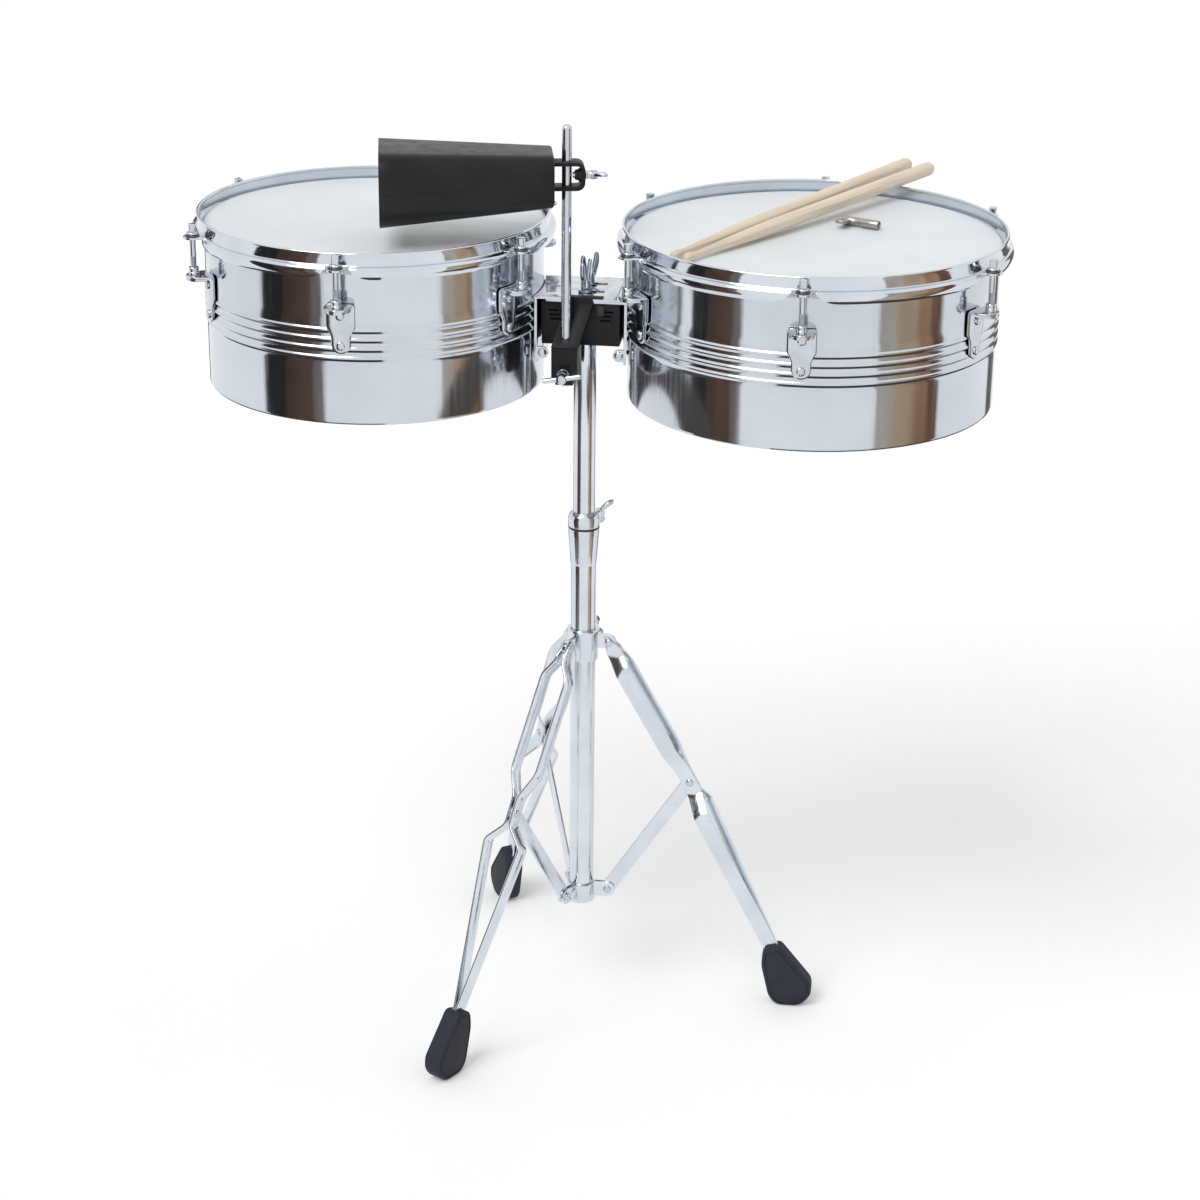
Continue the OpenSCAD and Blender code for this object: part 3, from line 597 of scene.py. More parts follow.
def lacquered_maple():
    """Pale straight-grained wood under thin lacquer, the grain along the piece's own z."""
    material, tree, shader, coordinates = material_nodes("lacquered_maple")
    colour = colours().maple
    grain = noise(tree, coordinates, 300, 5, (1, 1, 0.035))
    tree.links.new(
        ramp(tree, grain, scaled(colour, 0.86), scaled(colour, 1.08), 0.36, 0.6), shader.inputs["Base Color"]
    )
    tree.links.new(spread(tree, grain, 0.36, 0.5), shader.inputs["Roughness"])
    bump(tree, shader, grain, 0.25, 0.00008)
    shader.inputs["Coat Weight"].default_value = 0.25
    shader.inputs["Coat Roughness"].default_value = 0.25
    return material


MATERIALS = {}


def finish_of(maker):
    """Each finish is made once and shared."""
    if maker.__name__ not in MATERIALS:
        MATERIALS[maker.__name__] = maker()
    return MATERIALS[maker.__name__]


def chrome_fitting(piece, body, node):
    """Polished hardware that stands for a frame node."""
    return finish_piece(piece, body, "chrome_hardware", finish_of(hardware_chrome), node)


def stand_part(piece, body, node):
    """A chromed part of the stand that stands for a frame node."""
    return finish_piece(piece, body, "chrome_stand", finish_of(stand_chrome), node)


def drum_fitting(drum, made, node, parts, smooth):
    """Polished hardware on a drum, from parts placed round the drum's own axis."""
    verts, faces = joined(parts)
    piece = new_piece(f"{drum.name}_{made}", moved(verts, at(drum.centre)), faces, smooth)
    return chrome_fitting(piece, drum.body, f"{drum.name}_{node}")


# ---------------------------------------------------------------- drums

# height of the film above the shell's edge
HEAD_RISE = 0.6


def shell_profile(drum):
    """Closed outline of the shell wall: turned-in bottom lip, four pressed beads, rounded bearing edge."""
    size = sizes()
    radius, wall = drum.radius, size.shell_wall
    beads = [size.first_bead + i * size.bead_spacing for i in range(4)]

    def swell(z):
        near = min(abs(z - bead) for bead in beads)
        return BEAD_OUT * 0.5 * (1 + math.cos(math.pi * near / 3.4)) if near < 3.4 else 0

    heights = [3.0, 20.0, 40.0, 58.0]
    z = beads[0] - 3.4
    while z < beads[-1] + 3.41:
        heights.append(z)
        z += 0.68
    heights += [105.0, 125.0, 140.0, drum.depth - 1]
    outside = [(radius + swell(z), z) for z in heights]
    inside = [(radius - wall + swell(z), z) for z in reversed(heights)]
    lip = [(radius - 3.5, 0.4), (radius - 3.1, 0), (radius - 1.1, 0), (radius - 0.3, 0.3), (radius, 1.1)]
    top = [(radius - 0.35, drum.depth - 0.25), (radius - 0.8, drum.depth), (radius - wall, drum.depth - 0.6)]
    return lip + outside + top + inside + [(radius - 3.5, 1.6)]


def build_shell(drum):
    steps = stage_settings().rings
    verts, faces = lathe_data(shell_profile(drum), steps, closed=True)
    piece = new_piece(f"{drum.name}_shell_rolled", moved(verts, at(drum.centre)), faces, 50)
    return finish_piece(piece, drum.body, "chrome_shell", finish_of(drum_chrome), f"{drum.name}_shell")


def build_head(drum):
    """Film flat to the bearing edge, rolled down over it into its own ring."""
    r, top = drum.radius, drum.depth + HEAD_RISE
    profile = [(0, top), (r * 0.5, top), (r * 0.92, top), (r - 4, top), (r - 1.2, top - 0.05)]
    profile += [(r + 0.15, top - 0.5), (r + 0.75, top - 1.4), (r + 1.0, top - 3.3)]
    profile += [(r + 2.2, top - 3.7), (r + 4.9, top - 3.8), (r + 5.1, top - 4.6)]
    profile += [(r + 5.1, top - 9.2), (r + 0.5, top - 9.4)]
    profile += [(r + 0.4, top - 2), (r - 0.4, top - 0.75), (r - 2, top - 0.6), (0, top - 0.6)]
    verts, faces = lathe_data(profile, stage_settings().rings)
    piece = new_piece(f"{drum.name}_head_film", moved(verts, at(drum.centre)), faces, 45)
    return finish_piece(piece, drum.body, "drum_head", finish_of(coated_film), f"{drum.name}_head")


def skirt_line(drum, part):
    """A point on the skirt's bulging section, from its root (0) to its lower edge (1)."""
    size = sizes()
    ledge = drum.depth
    points = [
        (7.0, -0.5), (9.2, -0.8), (10.9, -1.9), (11.8, -3.8), (12.0, -6.0),
        (11.7, -8.2), (10.9, -10.4), (9.7, -12.4),
    ]
    place = part * (len(points) - 1)
    i = min(int(place), len(points) - 2)
    t = place - i
    out = points[i][0] * (1 - t) + points[i + 1][0] * t
    down = points[i][1] * (1 - t) + points[i + 1][1] * t
    return drum.radius + out * size.skirt_flare / 12, ledge + down


# arc distances from a rod at which the skirt starts and is at its full depth
SKIRT_START = 10.0
SKIRT_FULL = 34.0


def skirt_reach(distance):
    """How much of the skirt is there at an arc distance from a rod: none beside it, all further on."""
    start, full = SKIRT_START, SKIRT_FULL
    if distance <= start:
        return 0.0
    if distance >= full:
        return 1.0
    t = (distance - start) / (full - start)
    return math.sqrt(max(0.0, 1 - (1 - t) ** 2))


def skirt_data(drum, azimuth):
    """One leaf of the skirt between the rods at azimuth and 60 degrees further, with its thickness."""
    radius = drum.radius + 12
    arc_length = radius * math.radians(60)
    ease = SKIRT_FULL - SKIRT_START
    distances = [SKIRT_START + ease * (1 - math.cos(math.pi / 2 * k / 12)) for k in range(13)]
    middle = [SKIRT_FULL + (arc_length - 2 * SKIRT_FULL) * k / 22 for k in range(1, 22)]
    distances = distances + middle + [arc_length - d for d in reversed(distances)]
    rows, wall = 8, 1.3
    verts = []
    for side in (0, 1):
        for d in distances:
            near = min(d, arc_length - d)
            reach = skirt_reach(near)
            turn = math.radians(azimuth) + d / radius
            for k in range(rows + 1):
                r, z = skirt_line(drum, reach * k / rows)
                r -= side * wall * (0.55 + 0.45 * reach)
                z -= side * 0.5 * (1 - k / rows)
                verts.append((r * math.cos(turn), r * math.sin(turn), z))
    n, m = len(distances), rows + 1
    faces = []
    for i in range(n - 1):
        for k in range(rows):
            a = i * m + k
            b = a + n * m
            faces.append((a, a + m, a + m + 1, a + 1))
            faces.append((b, b + 1, b + m + 1, b + m))
        edge = i * m + rows
        faces.append((edge, edge + m, edge + m + n * m, edge + n * m))
        root = i * m
        faces.append((root, root + n * m, root + m + n * m, root + m))
    return verts, faces


def ear_outline(drum):
    """Flat ear round a rod, from the hoop's wall outward, with the rod's place as its origin."""
    out = sizes().rod_distance
    return [(-out + 6.6, -12.5), (-out + 9, -11.2), (-3.5, -9.0)] + arc((0, 0), 9, -90, 90, 14) + [
        (-3.5, 9.0), (-out + 9, 11.2), (-out + 6.6, 12.5),
    ]


def build_hoop(drum):
    """Rolled top edge, upright wall, ledge, bulging skirt leaves and a flat ear at each rod."""
    r, ledge, rim = drum.radius, drum.depth, drum.depth + sizes().rim_height
    wall = [(r + 5.1, ledge - 2.2), (r + 6.9, ledge - 2.2), (r + 7.5, ledge - 1.2), (r + 7.5, ledge - 0.5)]
    wall += [(r + 6.9, ledge), (r + 6.7, ledge + 1), (r + 6.65, rim - 3.4), (r + 6.75, rim - 2.6)]
    wall += arc((r + 5.4, rim - 1.5), 1.5, -20, 200, 10)
    wall += [(r + 4.3, rim - 2.9), (r + 5.1, rim - 3.4)]
    base = [(r + 2.3, ledge - 3), (r + 7.3, ledge - 3), (r + 7.5, ledge - 2), (r + 6.9, ledge - 1.2)]
    base += [(r + 5.1, ledge - 1.2), (r + 2.3, ledge - 1.4)]
    steps = stage_settings().rings
    parts = [lathe_data(wall, steps, closed=True), lathe_data(base, steps, closed=True)]
    rod = r + sizes().rod_distance
    for azimuth in ROD_AZIMUTHS:
        parts.append(skirt_data(drum, azimuth))
        ear = slab_data(ear_outline(drum), ledge - 2, ledge, 0.35)
        parts.append(placed(ear, turned(azimuth) @ at((rod, 0, 0))))
    verts, faces = joined(parts)
    piece = new_piece(f"{drum.name}_hoop_pressed", moved(verts, at(drum.centre)), faces, 42)
    return finish_piece(piece, drum.body, "chrome_hoop", finish_of(hoop_chrome), f"{drum.name}_hoop")


def lug_plate_data(drum):
    """Pressed lug plate, crowned and rounded, bent round the shell, with x out of the shell."""
    half, tip, low, high = sizes().lug_width / 2, 9.0, 70.0, 118.0
    outline = arc((0, low + tip), tip, 180, 360, 14)
    outline += [(tip, low + 14), (tip + 0.3, low + 17.5), (tip + 1.6, low + 20), (half - 1.6, low + 23)]
    outline += [(half - 0.4, low + 24.6), (half, low + 27), (half, 108), (half, high - 3)]
    outline += [(half - 1, high - 0.8), (half - 3, high)]
    outline += [(6, high), (0, high), (-6, high)]
    outline += [(-half + 3, high), (-half + 1, high - 0.8), (-half, high - 3), (-half, 108), (-half, low + 27)]
    outline += [(-half + 0.4, low + 24.6), (-half + 1.6, low + 23), (-tip - 1.6, low + 20)]
    outline += [(-tip - 0.3, low + 17.5), (-tip, low + 14)]
    levels = [(0, 1.7), (0, 2.6), (0.05, 3.05), (0.13, 3.4), (0.26, 3.62), (0.5, 3.7), (0.75, 3.7), (1, 3.7)]
    verts, n = [], len(outline)
    for share, out in levels:
        for u, z in outline:
            spine = min(max(z, low + tip), high - 8)
            y = u * (1 - share)
            z2 = z + (spine - z) * share
            turn = y / drum.radius
            r = drum.radius + out
            verts.append((r * math.cos(turn), r * math.sin(turn), z2))
    faces = ring_faces(len(levels), n)
    faces.append(tuple(reversed(range(n))))
    return verts, faces


def shelf_data(drum):
    """D-shaped shelf at the lug's top that holds the rod's nut, with the rod's place as its origin."""
    half, back = sizes().lug_width / 2, -sizes().rod_distance + 2.7
    outline = [(back, -half + 0.6), (-6, -half + 0.4), (1.5, -half + 2.4), (4.6, -half + 5)]
    outline += arc((0, 0), 8, -40, 40, 8)
    outline += [(4.6, half - 5), (1.5, half - 2.4), (-6, half - 0.4), (back, half - 0.6)]
    return slab_data(outline, 115.9, 118, 0.55, 3)


def lip_data(drum):
    """Turned-down lip under the shelf's rim."""
    half = sizes().lug_width / 2
    path = [(-8, -half + 1.2), (1.0, -half + 3.2), (6.6, -5), (7.4, 0), (6.6, 5)]
    path += [(1.0, half - 3.2), (-8, half - 1.2)]
    inner = [(-8, -half + 2.6), (0.4, -half + 4.6), (5.2, -4.4), (6.0, 0), (5.2, 4.4)]
    inner += [(0.4, half - 4.6), (-8, half - 2.6)]
    return slab_data([*path, *reversed(inner)], 113.4, 116.4, 0.3)


def build_lugs(drum):
    parts = []
    rod = drum.radius + sizes().rod_distance
    for azimuth in ROD_AZIMUTHS:
        parts.append(placed(lug_plate_data(drum), turned(azimuth)))
        parts.append(placed(shelf_data(drum), turned(azimuth) @ at((rod, 0, 0))))
        parts.append(placed(lip_data(drum), turned(azimuth) @ at((rod, 0, 0))))
    return drum_fitting(drum, "lugs_pressed", "lugs", parts, 38)


def screw_head_data(radius, height):
    """Round screw head with a sunk slot, standing on z."""
    rings = [(radius, 0), (radius, height * 0.3), (radius * 0.93, height * 0.58), (radius * 0.74, height * 0.83)]
    rings += [(radius * 0.42, height * 0.97), (0, height)]
    dome = lathe_data(rings, 28)
    slot = [(-radius * 0.78, -0.35), (radius * 0.78, -0.35), (radius * 0.78, 0.35), (-radius * 0.78, 0.35)]
    return joined([dome, slab_data(slot, height * 0.5, height * 1.01)])


def build_lug_screws(drum):
    """Two dome screws on each lug, with their hex nuts inside the shell."""
    parts = []
    nut = [(4 * math.cos(math.radians(a)), 4 * math.sin(math.radians(a))) for a in range(0, 360, 60)]
    for azimuth in ROD_AZIMUTHS:
        for height in (107, 78):
            outward = turned(azimuth) @ at((drum.radius, 0, height)) @ Matrix.Rotation(math.pi / 2, 4, "Y")
            parts.append(placed(screw_head_data(4.3, 2.2), outward @ at((0, 0, 3.7)) @ turned(height * 7)))
            parts.append(placed(lathe_data([(0, -5.6), (2.1, -5.6), (2.1, 3.8), (0, 3.8)], 16), outward))
            parts.append(placed(slab_data(nut, -4.0, -1.7, 0.3), outward))
    return drum_fitting(drum, "lug_screws_domed", "lug_screws", parts, 30)


def rod_profile(drum):
    """Tension rod from its threaded foot to the flange under its square head."""
    foot, ledge = 115.0, drum.depth
    profile = [(0, foot), (2.5, foot)]
    z = foot + 0.4
    while z < 137:
        profile += [(2.55, z), (3.0, z + 0.4)]
        z += 0.8
    profile += [(2.95, 138), (2.95, ledge + 1.5), (5.4, ledge + 1.6), (5.6, ledge + 1.9), (5.6, ledge + 3.3)]
    profile += [(5.1, ledge + 3.9), (3.2, ledge + 4.1), (0, ledge + 4.1)]
    return profile


def build_rods(drum):
    parts = []
    out = drum.radius + sizes().rod_distance
    square = rounded_box(6.6, 6.6, 0.9, 3)
    top = drum.depth + sizes().rim_height - 0.2
    for azimuth in ROD_AZIMUTHS:
        spot = turned(azimuth) @ at((out, 0, 0))
        parts.append(placed(lathe_data(rod_profile(drum), 24), spot))
        parts.append(placed(slab_data(square, drum.depth + 3.6, top, 0.5), spot @ turned(azimuth * 1.7)))
    return drum_fitting(drum, "tension_rods", "rods", parts, 34)


def build_rod_nuts(drum):
    """Collar nut on each shelf and the dark washer under each rod head."""
    out = drum.radius + sizes().rod_distance
    nut = [(3.1, 118), (4.6, 118), (5.0, 118.4), (5.0, 121), (4.7, 121.4), (4.7, 123.6), (5.0, 124), (5.0, 125.5)]
    nut += [(4.6, 126), (3.1, 126)]
    washer = [(3.3, 0), (6.7, 0), (7.0, 0.3), (7.0, 1.2), (6.7, 1.5), (3.3, 1.5)]
    nuts = [placed(lathe_data(nut, 28, closed=True), turned(a) @ at((out, 0, 0))) for a in ROD_AZIMUTHS]
    seat = at((out, 0, drum.depth))
    rings = [placed(lathe_data(washer, 28, closed=True), turned(a) @ seat) for a in ROD_AZIMUTHS]
    drum_fitting(drum, "rod_nuts", "lug_nuts", nuts, 34)
    verts, faces = joined(rings)
    piece = new_piece(f"{drum.name}_rod_washers", moved(verts, at(drum.centre)), faces, 34)
    finish_piece(piece, drum.body, "chrome_hardware", finish_of(dark_washer), f"{drum.name}_washers")


def build_plate(drum):
    """The drum's curved carrier plate and its screws."""
    piece = softened(f"{drum.name}_plate", 0.5)
    chrome_fitting(piece, drum.body, f"{drum.name}_plate")
    piece = softened(f"{drum.name}_plate_screws", 0.2, 1)
    chrome_fitting(piece, drum.body, f"{drum.name}_plate_screws")


# ---------------------------------------------------------------- wing bolts


def wing_bolt_data(shaft, length, hub, hub_height, span, height, thick):
    """A cast wing bolt along z: shaft down, two curved ears up."""
    body = [(0, -length), (shaft - 0.5, -length), (shaft, -length + 0.5), (shaft, 0), (hub - 0.4, 0), (hub, 0.5)]
    body += [(hub * 0.96, hub_height * 0.7), (hub * 0.78, hub_height)]
    body += [(hub * 0.4, hub_height + 0.6), (0, hub_height + 0.7)]
    outer, inner = span / 2, hub * 0.5
    right = [(hub * 0.55, 0.9), (hub * 0.95, 1.2), (outer * 0.6, hub_height * 0.55)]
    right += [(outer * 0.84, height * 0.42), (outer * 0.97, height * 0.62), (outer, height * 0.8)]
    right += [(outer * 0.96, height * 0.92)]
    right += [(outer * 0.86, height * 0.99), (outer * 0.72, height), (outer * 0.58, height * 0.92)]
    right += [(outer * 0.5, height * 0.76), (outer * 0.42, height * 0.62), (inner, hub_height + 0.5)]
    parts = [lathe_data(body, 32)]
    for side in (1, -1):
        outline = [(x * side, z) for x, z in right]
        ear = slab_data(outline, -thick / 2, thick / 2, thick * 0.36, 3)
        parts.append(placed(ear, Matrix.Rotation(math.pi / 2, 4, "X")))
    return joined(parts)


def build_plate_bolts():
    """Washer and cast bolt of each drum plate, front and rear."""
    for name, turn, side in (("plate_bolt_front", 75, -1), ("plate_bolt_rear", 55, 1)):
        seat = corners_mm(name)[1].z - 30
        spot = at((POST.x + 2, POST.y + side * 14, seat))
        washer = lathe_data([(3.1, 0), (7.1, 0), (7.5, 0.4), (7.5, 1.8), (7.1, 2.2), (3.1, 2.2)], 36, closed=True)
        bolt = wing_bolt_data(3, 20, 5.0, 9.5, 25, 28, 3.6)
        parts = [placed(washer, spot), placed(bolt, spot @ at((0, 0, 2)) @ turned(turn))]
        verts, faces = joined(parts)
        piece = new_piece(f"{name}_cast", verts, faces, 40)
        chrome_fitting(piece, name, name)


OUTWARD = Matrix.Rotation(math.pi / 2, 4, "Y")
CLAMP_TURN = 50
PIVOT_Z = 406.0
PIVOT_OUT = 27.0


def build_clamp_bolts():
    """Wing bolts of the height clamp and of the leg collar."""
    low, high = corners_mm("height_bolt")
    spot = at((POST.x, POST.y, (low.z + high.z) / 2)) @ turned(CLAMP_TURN) @ at((18.0, 0, 0)) @ OUTWARD
    verts, faces = placed(wing_bolt_data(3, 6.5, 6, 6, 33, 16, 3.6), spot @ turned(30))
    piece = new_piece("height_bolt_cast", verts, faces, 40)
    chrome_fitting(piece, "height_bolt", "height_bolt")
    spot = at((POST.x, POST.y, PIVOT_Z)) @ turned(60) @ at((22.0, 0, 0)) @ OUTWARD
    verts, faces = placed(wing_bolt_data(3, 8.9, 6.5, 6, 36, 18, 3.6), spot @ turned(-50))
    piece = new_piece("leg_collar_bolt_cast", verts, faces, 40)
    chrome_fitting(piece, "leg_bolt", "leg_collar_bolt")


def bell_place():
    """The rod's own axes, turned with the cowbell, with the floor as zero height."""
    rod = middle_mm("bell_rod")
    return at((rod.x, rod.y, 0)) @ turned(bell_sizes().turn)


def build_bell_bolt():
    """Wing bolt that pulls the strap against the rod."""
    spot = bell_place() @ at((STRAP_FRONT, 0, middle_mm("bell_strap").z)) @ OUTWARD
    neck = lathe_data([(0, 0), (4.0, 0), (4.2, 0.3), (4.2, 2), (3.6, 2.6), (3.6, 5), (4.2, 6), (4.2, 7), (0, 7)], 32)
    bolt = placed(wing_bolt_data(3, 17.6, 4.6, 6, 27, 15, 3.4), at((0, 0, 6)) @ turned(80))
    verts, faces = placed(joined([neck, bolt]), spot)
    piece = new_piece("bell_bolt_cast", verts, faces, 40)
    chrome_fitting(piece, "bell_bolt", "bell_bolt")


def build_arm_bolt():
    """T bolt of the rod block: a ball-ended hub with a slanted crossbar."""
    rod = middle_mm("bell_rod")
    tip = corners_mm("arm_bolt")[1].y
    z = corners_mm("bell_arm")[0].z + 12
    forward = Matrix.Rotation(math.pi / 2, 4, "X")
    shank = [(0, 0), (2.6, 0), (3, 0.4), (3, 20), (4.6, 20.2), (5, 21), (5, 29.5), (4.4, 31.2), (2.6, 32), (0, 32.1)]
    shank_part = placed(lathe_data(shank, 36), at((rod.x, tip, z)) @ forward)
    washer = lathe_data([(3.05, 0), (5.7, 0), (6, 0.3), (6, 2.2), (5.7, 2.5), (3.05, 2.5)], 36, closed=True)
    washer_part = placed(washer, at((rod.x, rod.y - 18.0, z)) @ forward)
    bar = [(0, -18.5), (2.0, -18.4), (2.6, -17.6), (2.6, 17.6), (2.0, 18.4), (0, 18.5)]
    turn = Matrix.Rotation(math.radians(80), 4, "Y")
    bar_part = placed(lathe_data(bar, 24), at((rod.x, tip - 26, z)) @ turn)
    verts, faces = joined([shank_part, washer_part, bar_part])
    piece = new_piece("arm_bolt_turned", verts, faces, 36)
    chrome_fitting(piece, "arm_bolt", "arm_bolt")


# ---------------------------------------------------------------- bracket and cowbell

# distances from the rod, along the turned cowbell
BELL_END = -13.0
BELL_DROP = 6.0
STRAP_FRONT = 17.0


def build_bracket():
    box = softened("bracket_box", 1.1, 3)
    finish_piece(box, "mast", "black_steel", finish_of(bracket_paint), "bracket_box")
    clip = softened("bracket_clip", 0.4)
    finish_piece(clip, "mast", "black_steel", finish_of(moulded_nylon), "bracket_clip")
    low, high = corners_mm("bracket_box")
    seam_z = high.z - 15.5
    line = rounded_box(high.x - low.x + 0.5, high.y - low.y + 0.5, 1.4, 4)
    inner = rounded_box(high.x - low.x - 2, high.y - low.y - 2, 1.0, 4)
    n = len(line)
    rows = [(line, seam_z - 0.6), (line, seam_z + 0.6)]
    verts = [(p[0], p[1], z) for outline, z in rows for p in outline]
    verts += [(p[0], p[1], z) for z in (seam_z + 0.6, seam_z - 0.6) for p in inner]
    faces = []
    for k in range(4):
        a, b = k * n, (k + 1) % 4 * n
        faces += [(a + j, a + (j + 1) % n, b + (j + 1) % n, b + j) for j in range(n)]
    centre = (low + high) / 2
    fold = new_piece("bracket_fold_line", moved(verts, at((centre.x, centre.y, 0))), faces, 30)
    finish_piece(fold, "mast", "black_steel", finish_of(bracket_paint))


def build_arm():
    arm = softened("bell_arm", 0.7, 2)
    finish_piece(arm, "mast", "black_steel", finish_of(bracket_paint), "bell_arm")
    low, high = corners_mm("arm_bushing")
    rod = middle_mm("bell_rod")
    height = high.z - low.z
    profile = [(4.8, 0), (6.95, 0), (6.95, height - 2.2), (6.2, height - 0.6), (5.6, height), (4.8, height)]
    verts, faces = placed(lathe_data(profile, 36, closed=True), at((rod.x, rod.y, low.z)))
    collar = new_piece("arm_bushing_moulded", verts, faces, 40)
    finish_piece(collar, "mast", "black_nylon", finish_of(moulded_nylon), "arm_bushing")


def build_bell_rod():
    low, high = corners_mm("bell_rod")
    rod = (low + high) / 2
    length, r = high.z - low.z, (high.x - low.x) / 2
    profile = [(0, 0), (r - 0.9, 0), (r - 0.25, 0.3), (r, 1)]
    profile += [(r, length * k / 6) for k in range(1, 6)]
    profile += [(r, length - r), (r * 0.94, length - r * 0.62), (r * 0.77, length - r * 0.3)]
    profile += [(r * 0.42, length - r * 0.07), (0, length)]
    verts, faces = placed(lathe_data(profile, 48), at((rod.x, rod.y, low.z)))
    piece = new_piece("bell_rod_ground", verts, faces, 40)
    chrome_fitting(piece, "bell_rod", "bell_rod")


def bell_section(share, inset):
    """Rounded slab outline of the bell at a share of its length from the mouth, in y and z."""
    low, high = corners_mm("bell")
    size = bell_sizes()
    width = size.mouth_width / MM * (1 - 0.31 * share) - 2 * inset
    height = (high.z - low.z) * (1 - 0.30 * share) - 2 * inset
    corner = size.corner * (1 - 0.25 * share) - inset * 0.8
    top = high.z - BELL_DROP * share - inset
    return [(y, z + top - height / 2) for y, z in rounded_box(width, height, corner, 10)]


def build_bell():
    """Pressed bell: tapered rounded body, rounded closed end, folded side seams and a plain open mouth."""
    size = bell_sizes()
    wall, length = size.wall, size.length / MM
    mouth = BELL_END - length
    # share of the length and inset of each ring, from the closed end's middle out, to the mouth, and back inside
    turn = [math.pi / 2 * k / 5 for k in range(6)]
    rings = [(length - 2.6 * (1 - math.cos(t)), 2.6 * (1 - math.sin(t))) for t in turn]
    rings += [(length * s, 0) for s in (0.9, 0.75, 0.5, 0.25, 0.08)] + [(0.5, 0), (0.15, 0.15), (0, 0.5)]
    rings += [(0, wall - 0.4), (0.2, wall - 0.1), (0.6, wall)] + [(length * s, wall) for s in (0.1, 0.3, 0.6, 0.9)]
    rings += [(length - wall - 2, wall), (length - wall - 0.5, wall + 0.7), (length - wall, wall + 2)]
    verts = []
    for along_x, inset in rings:
        section = bell_section(along_x / length, inset)
        verts += [(mouth + along_x, y, z) for y, z in section]
    n = len(section)
    faces = ring_faces(len(rings), n)
    faces.append(tuple(range(n)))
    faces.append(tuple(reversed(range((len(rings) - 1) * n, len(rings) * n))))
    piece = new_piece("bell_pressed", moved(verts, bell_place()), faces, 60)
    finish_piece(piece, "cowbell", "bell_paint", finish_of(bell_paint), "bell")
    parts = []
    for side in (1, -1):
        seam = []
        for along_x in (4.0, length * 0.5, length - 5.0):
            section = bell_section(along_x / length, 0)
            half = max(y for y, z in section)
            level = (max(z for y, z in section) + min(z for y, z in section)) / 2
            seam.append(Vector((mouth + along_x, side * (half - 0.15), level)))
        for start, end in zip(seam, seam[1:]):
            bead = lathe_data([(0, 0), (0.55, 0.2), (0.55, (end - start).length), (0, (end - start).length)], 10)
            parts.append(placed(bead, at(start) @ along(end - start)))
    verts, faces = placed(joined(parts), bell_place())
    piece = new_piece("bell_side_seams", verts, faces, 60)
    finish_piece(piece, "cowbell", "bell_paint", finish_of(bell_paint))


def build_bell_strap():
    """Bent black strap round the rod, with the cone nut inside it."""
    low, high = corners_mm("bell_strap")
    width, thick = 20.0, 3.5
    level = (low.z + high.z) / 2
    half = (high.z - low.z) / 2 - thick / 2
    line = [(BELL_END, half), (STRAP_FRONT - thick / 2, half), (STRAP_FRONT - thick / 2, -half), (BELL_END, -half)]
    path = rounded_path([(x, z, 0) for x, z in line], 7, 7)
    tube = []
    for i, point in enumerate(path):
        ahead = path[min(i + 1, len(path) - 1)] - path[max(i - 1, 0)]
        normal = Vector((-ahead.y, ahead.x, 0)).normalized()
        tube.append((point + normal * thick / 2, point - normal * thick / 2))
    outline = [(a.x, a.y) for a, b in tube] + [(b.x, b.y) for a, b in reversed(tube)]
    part = slab_data(outline, -width / 2, width / 2, 0.5)
    verts, faces = placed(part, bell_place() @ at((0, 0, level)) @ Matrix.Rotation(math.pi / 2, 4, "X"))
    piece = new_piece("bell_strap_bent", verts, faces, 40)
    finish_piece(piece, "cowbell", "black_steel", finish_of(bracket_paint), "bell_strap")
    cone = [(3.1, 0), (7, 0), (7, 0.8), (6.4, 1.6), (5.2, 3.4), (4.6, 5.6), (4.3, 6), (3.1, 6)]
    inward = Matrix.Rotation(-math.pi / 2, 4, "Y")
    spot = bell_place() @ at((STRAP_FRONT - thick, 0, level)) @ inward
    verts, faces = placed(lathe_data(cone, 36, closed=True), spot)
    piece = new_piece("bell_nut_moulded", verts, faces, 40)
    finish_piece(piece, "cowbell", "black_nylon", finish_of(moulded_nylon), "bell_nut")


# ---------------------------------------------------------------- stand


def build_post():
    """Main and upper tubes with eased ends."""
    for node, body, wall in (("main_tube", "stand", 1.3), ("upper_tube", "mast", 1.5)):
        low, high = corners_mm(node)
        r, length = (high.x - low.x) / 2, high.z - low.z
        profile = [(r - wall, 0), (r - 0.4, 0), (r, 0.5)] + [(r, length * k / 8) for k in range(1, 8)]
        profile += [(r, length - 0.5), (r - 0.4, length), (r - wall, length)]
        verts, faces = placed(lathe_data(profile, 72, closed=True), at((POST.x, POST.y, low.z)))
        piece = new_piece(f"{node}_drawn", verts, faces, 40)
        stand_part(piece, body, node)


def build_clamp():
    """Height clamp: flared sleeve, nylon ring and cast head."""
    sleeve = softened("height_clamp", 0.3)
    stand_part(sleeve, "stand", "height_clamp")
    ring = softened("clamp_ring", 0.4)
    finish_piece(ring, "stand", "black_nylon", finish_of(moulded_nylon), "clamp_ring")
    head = softened("clamp_head", 0.8, 3)
    stand_part(head, "stand", "clamp_head")


def build_collars():
    for node, body in (("leg_collar", "leg_slider"), ("bottom_collar", "stand")):
        piece = softened(node, 0.6, 2)
        stand_part(piece, body, node)
    rivets = softened("bottom_rivets", 0.2, 1)
    chrome_fitting(rivets, "stand", "bottom_rivets")


JOINT = (113.0, 253.0)
TOE = (208.0, 56.0)
BRACE = (28.0, 122.0)


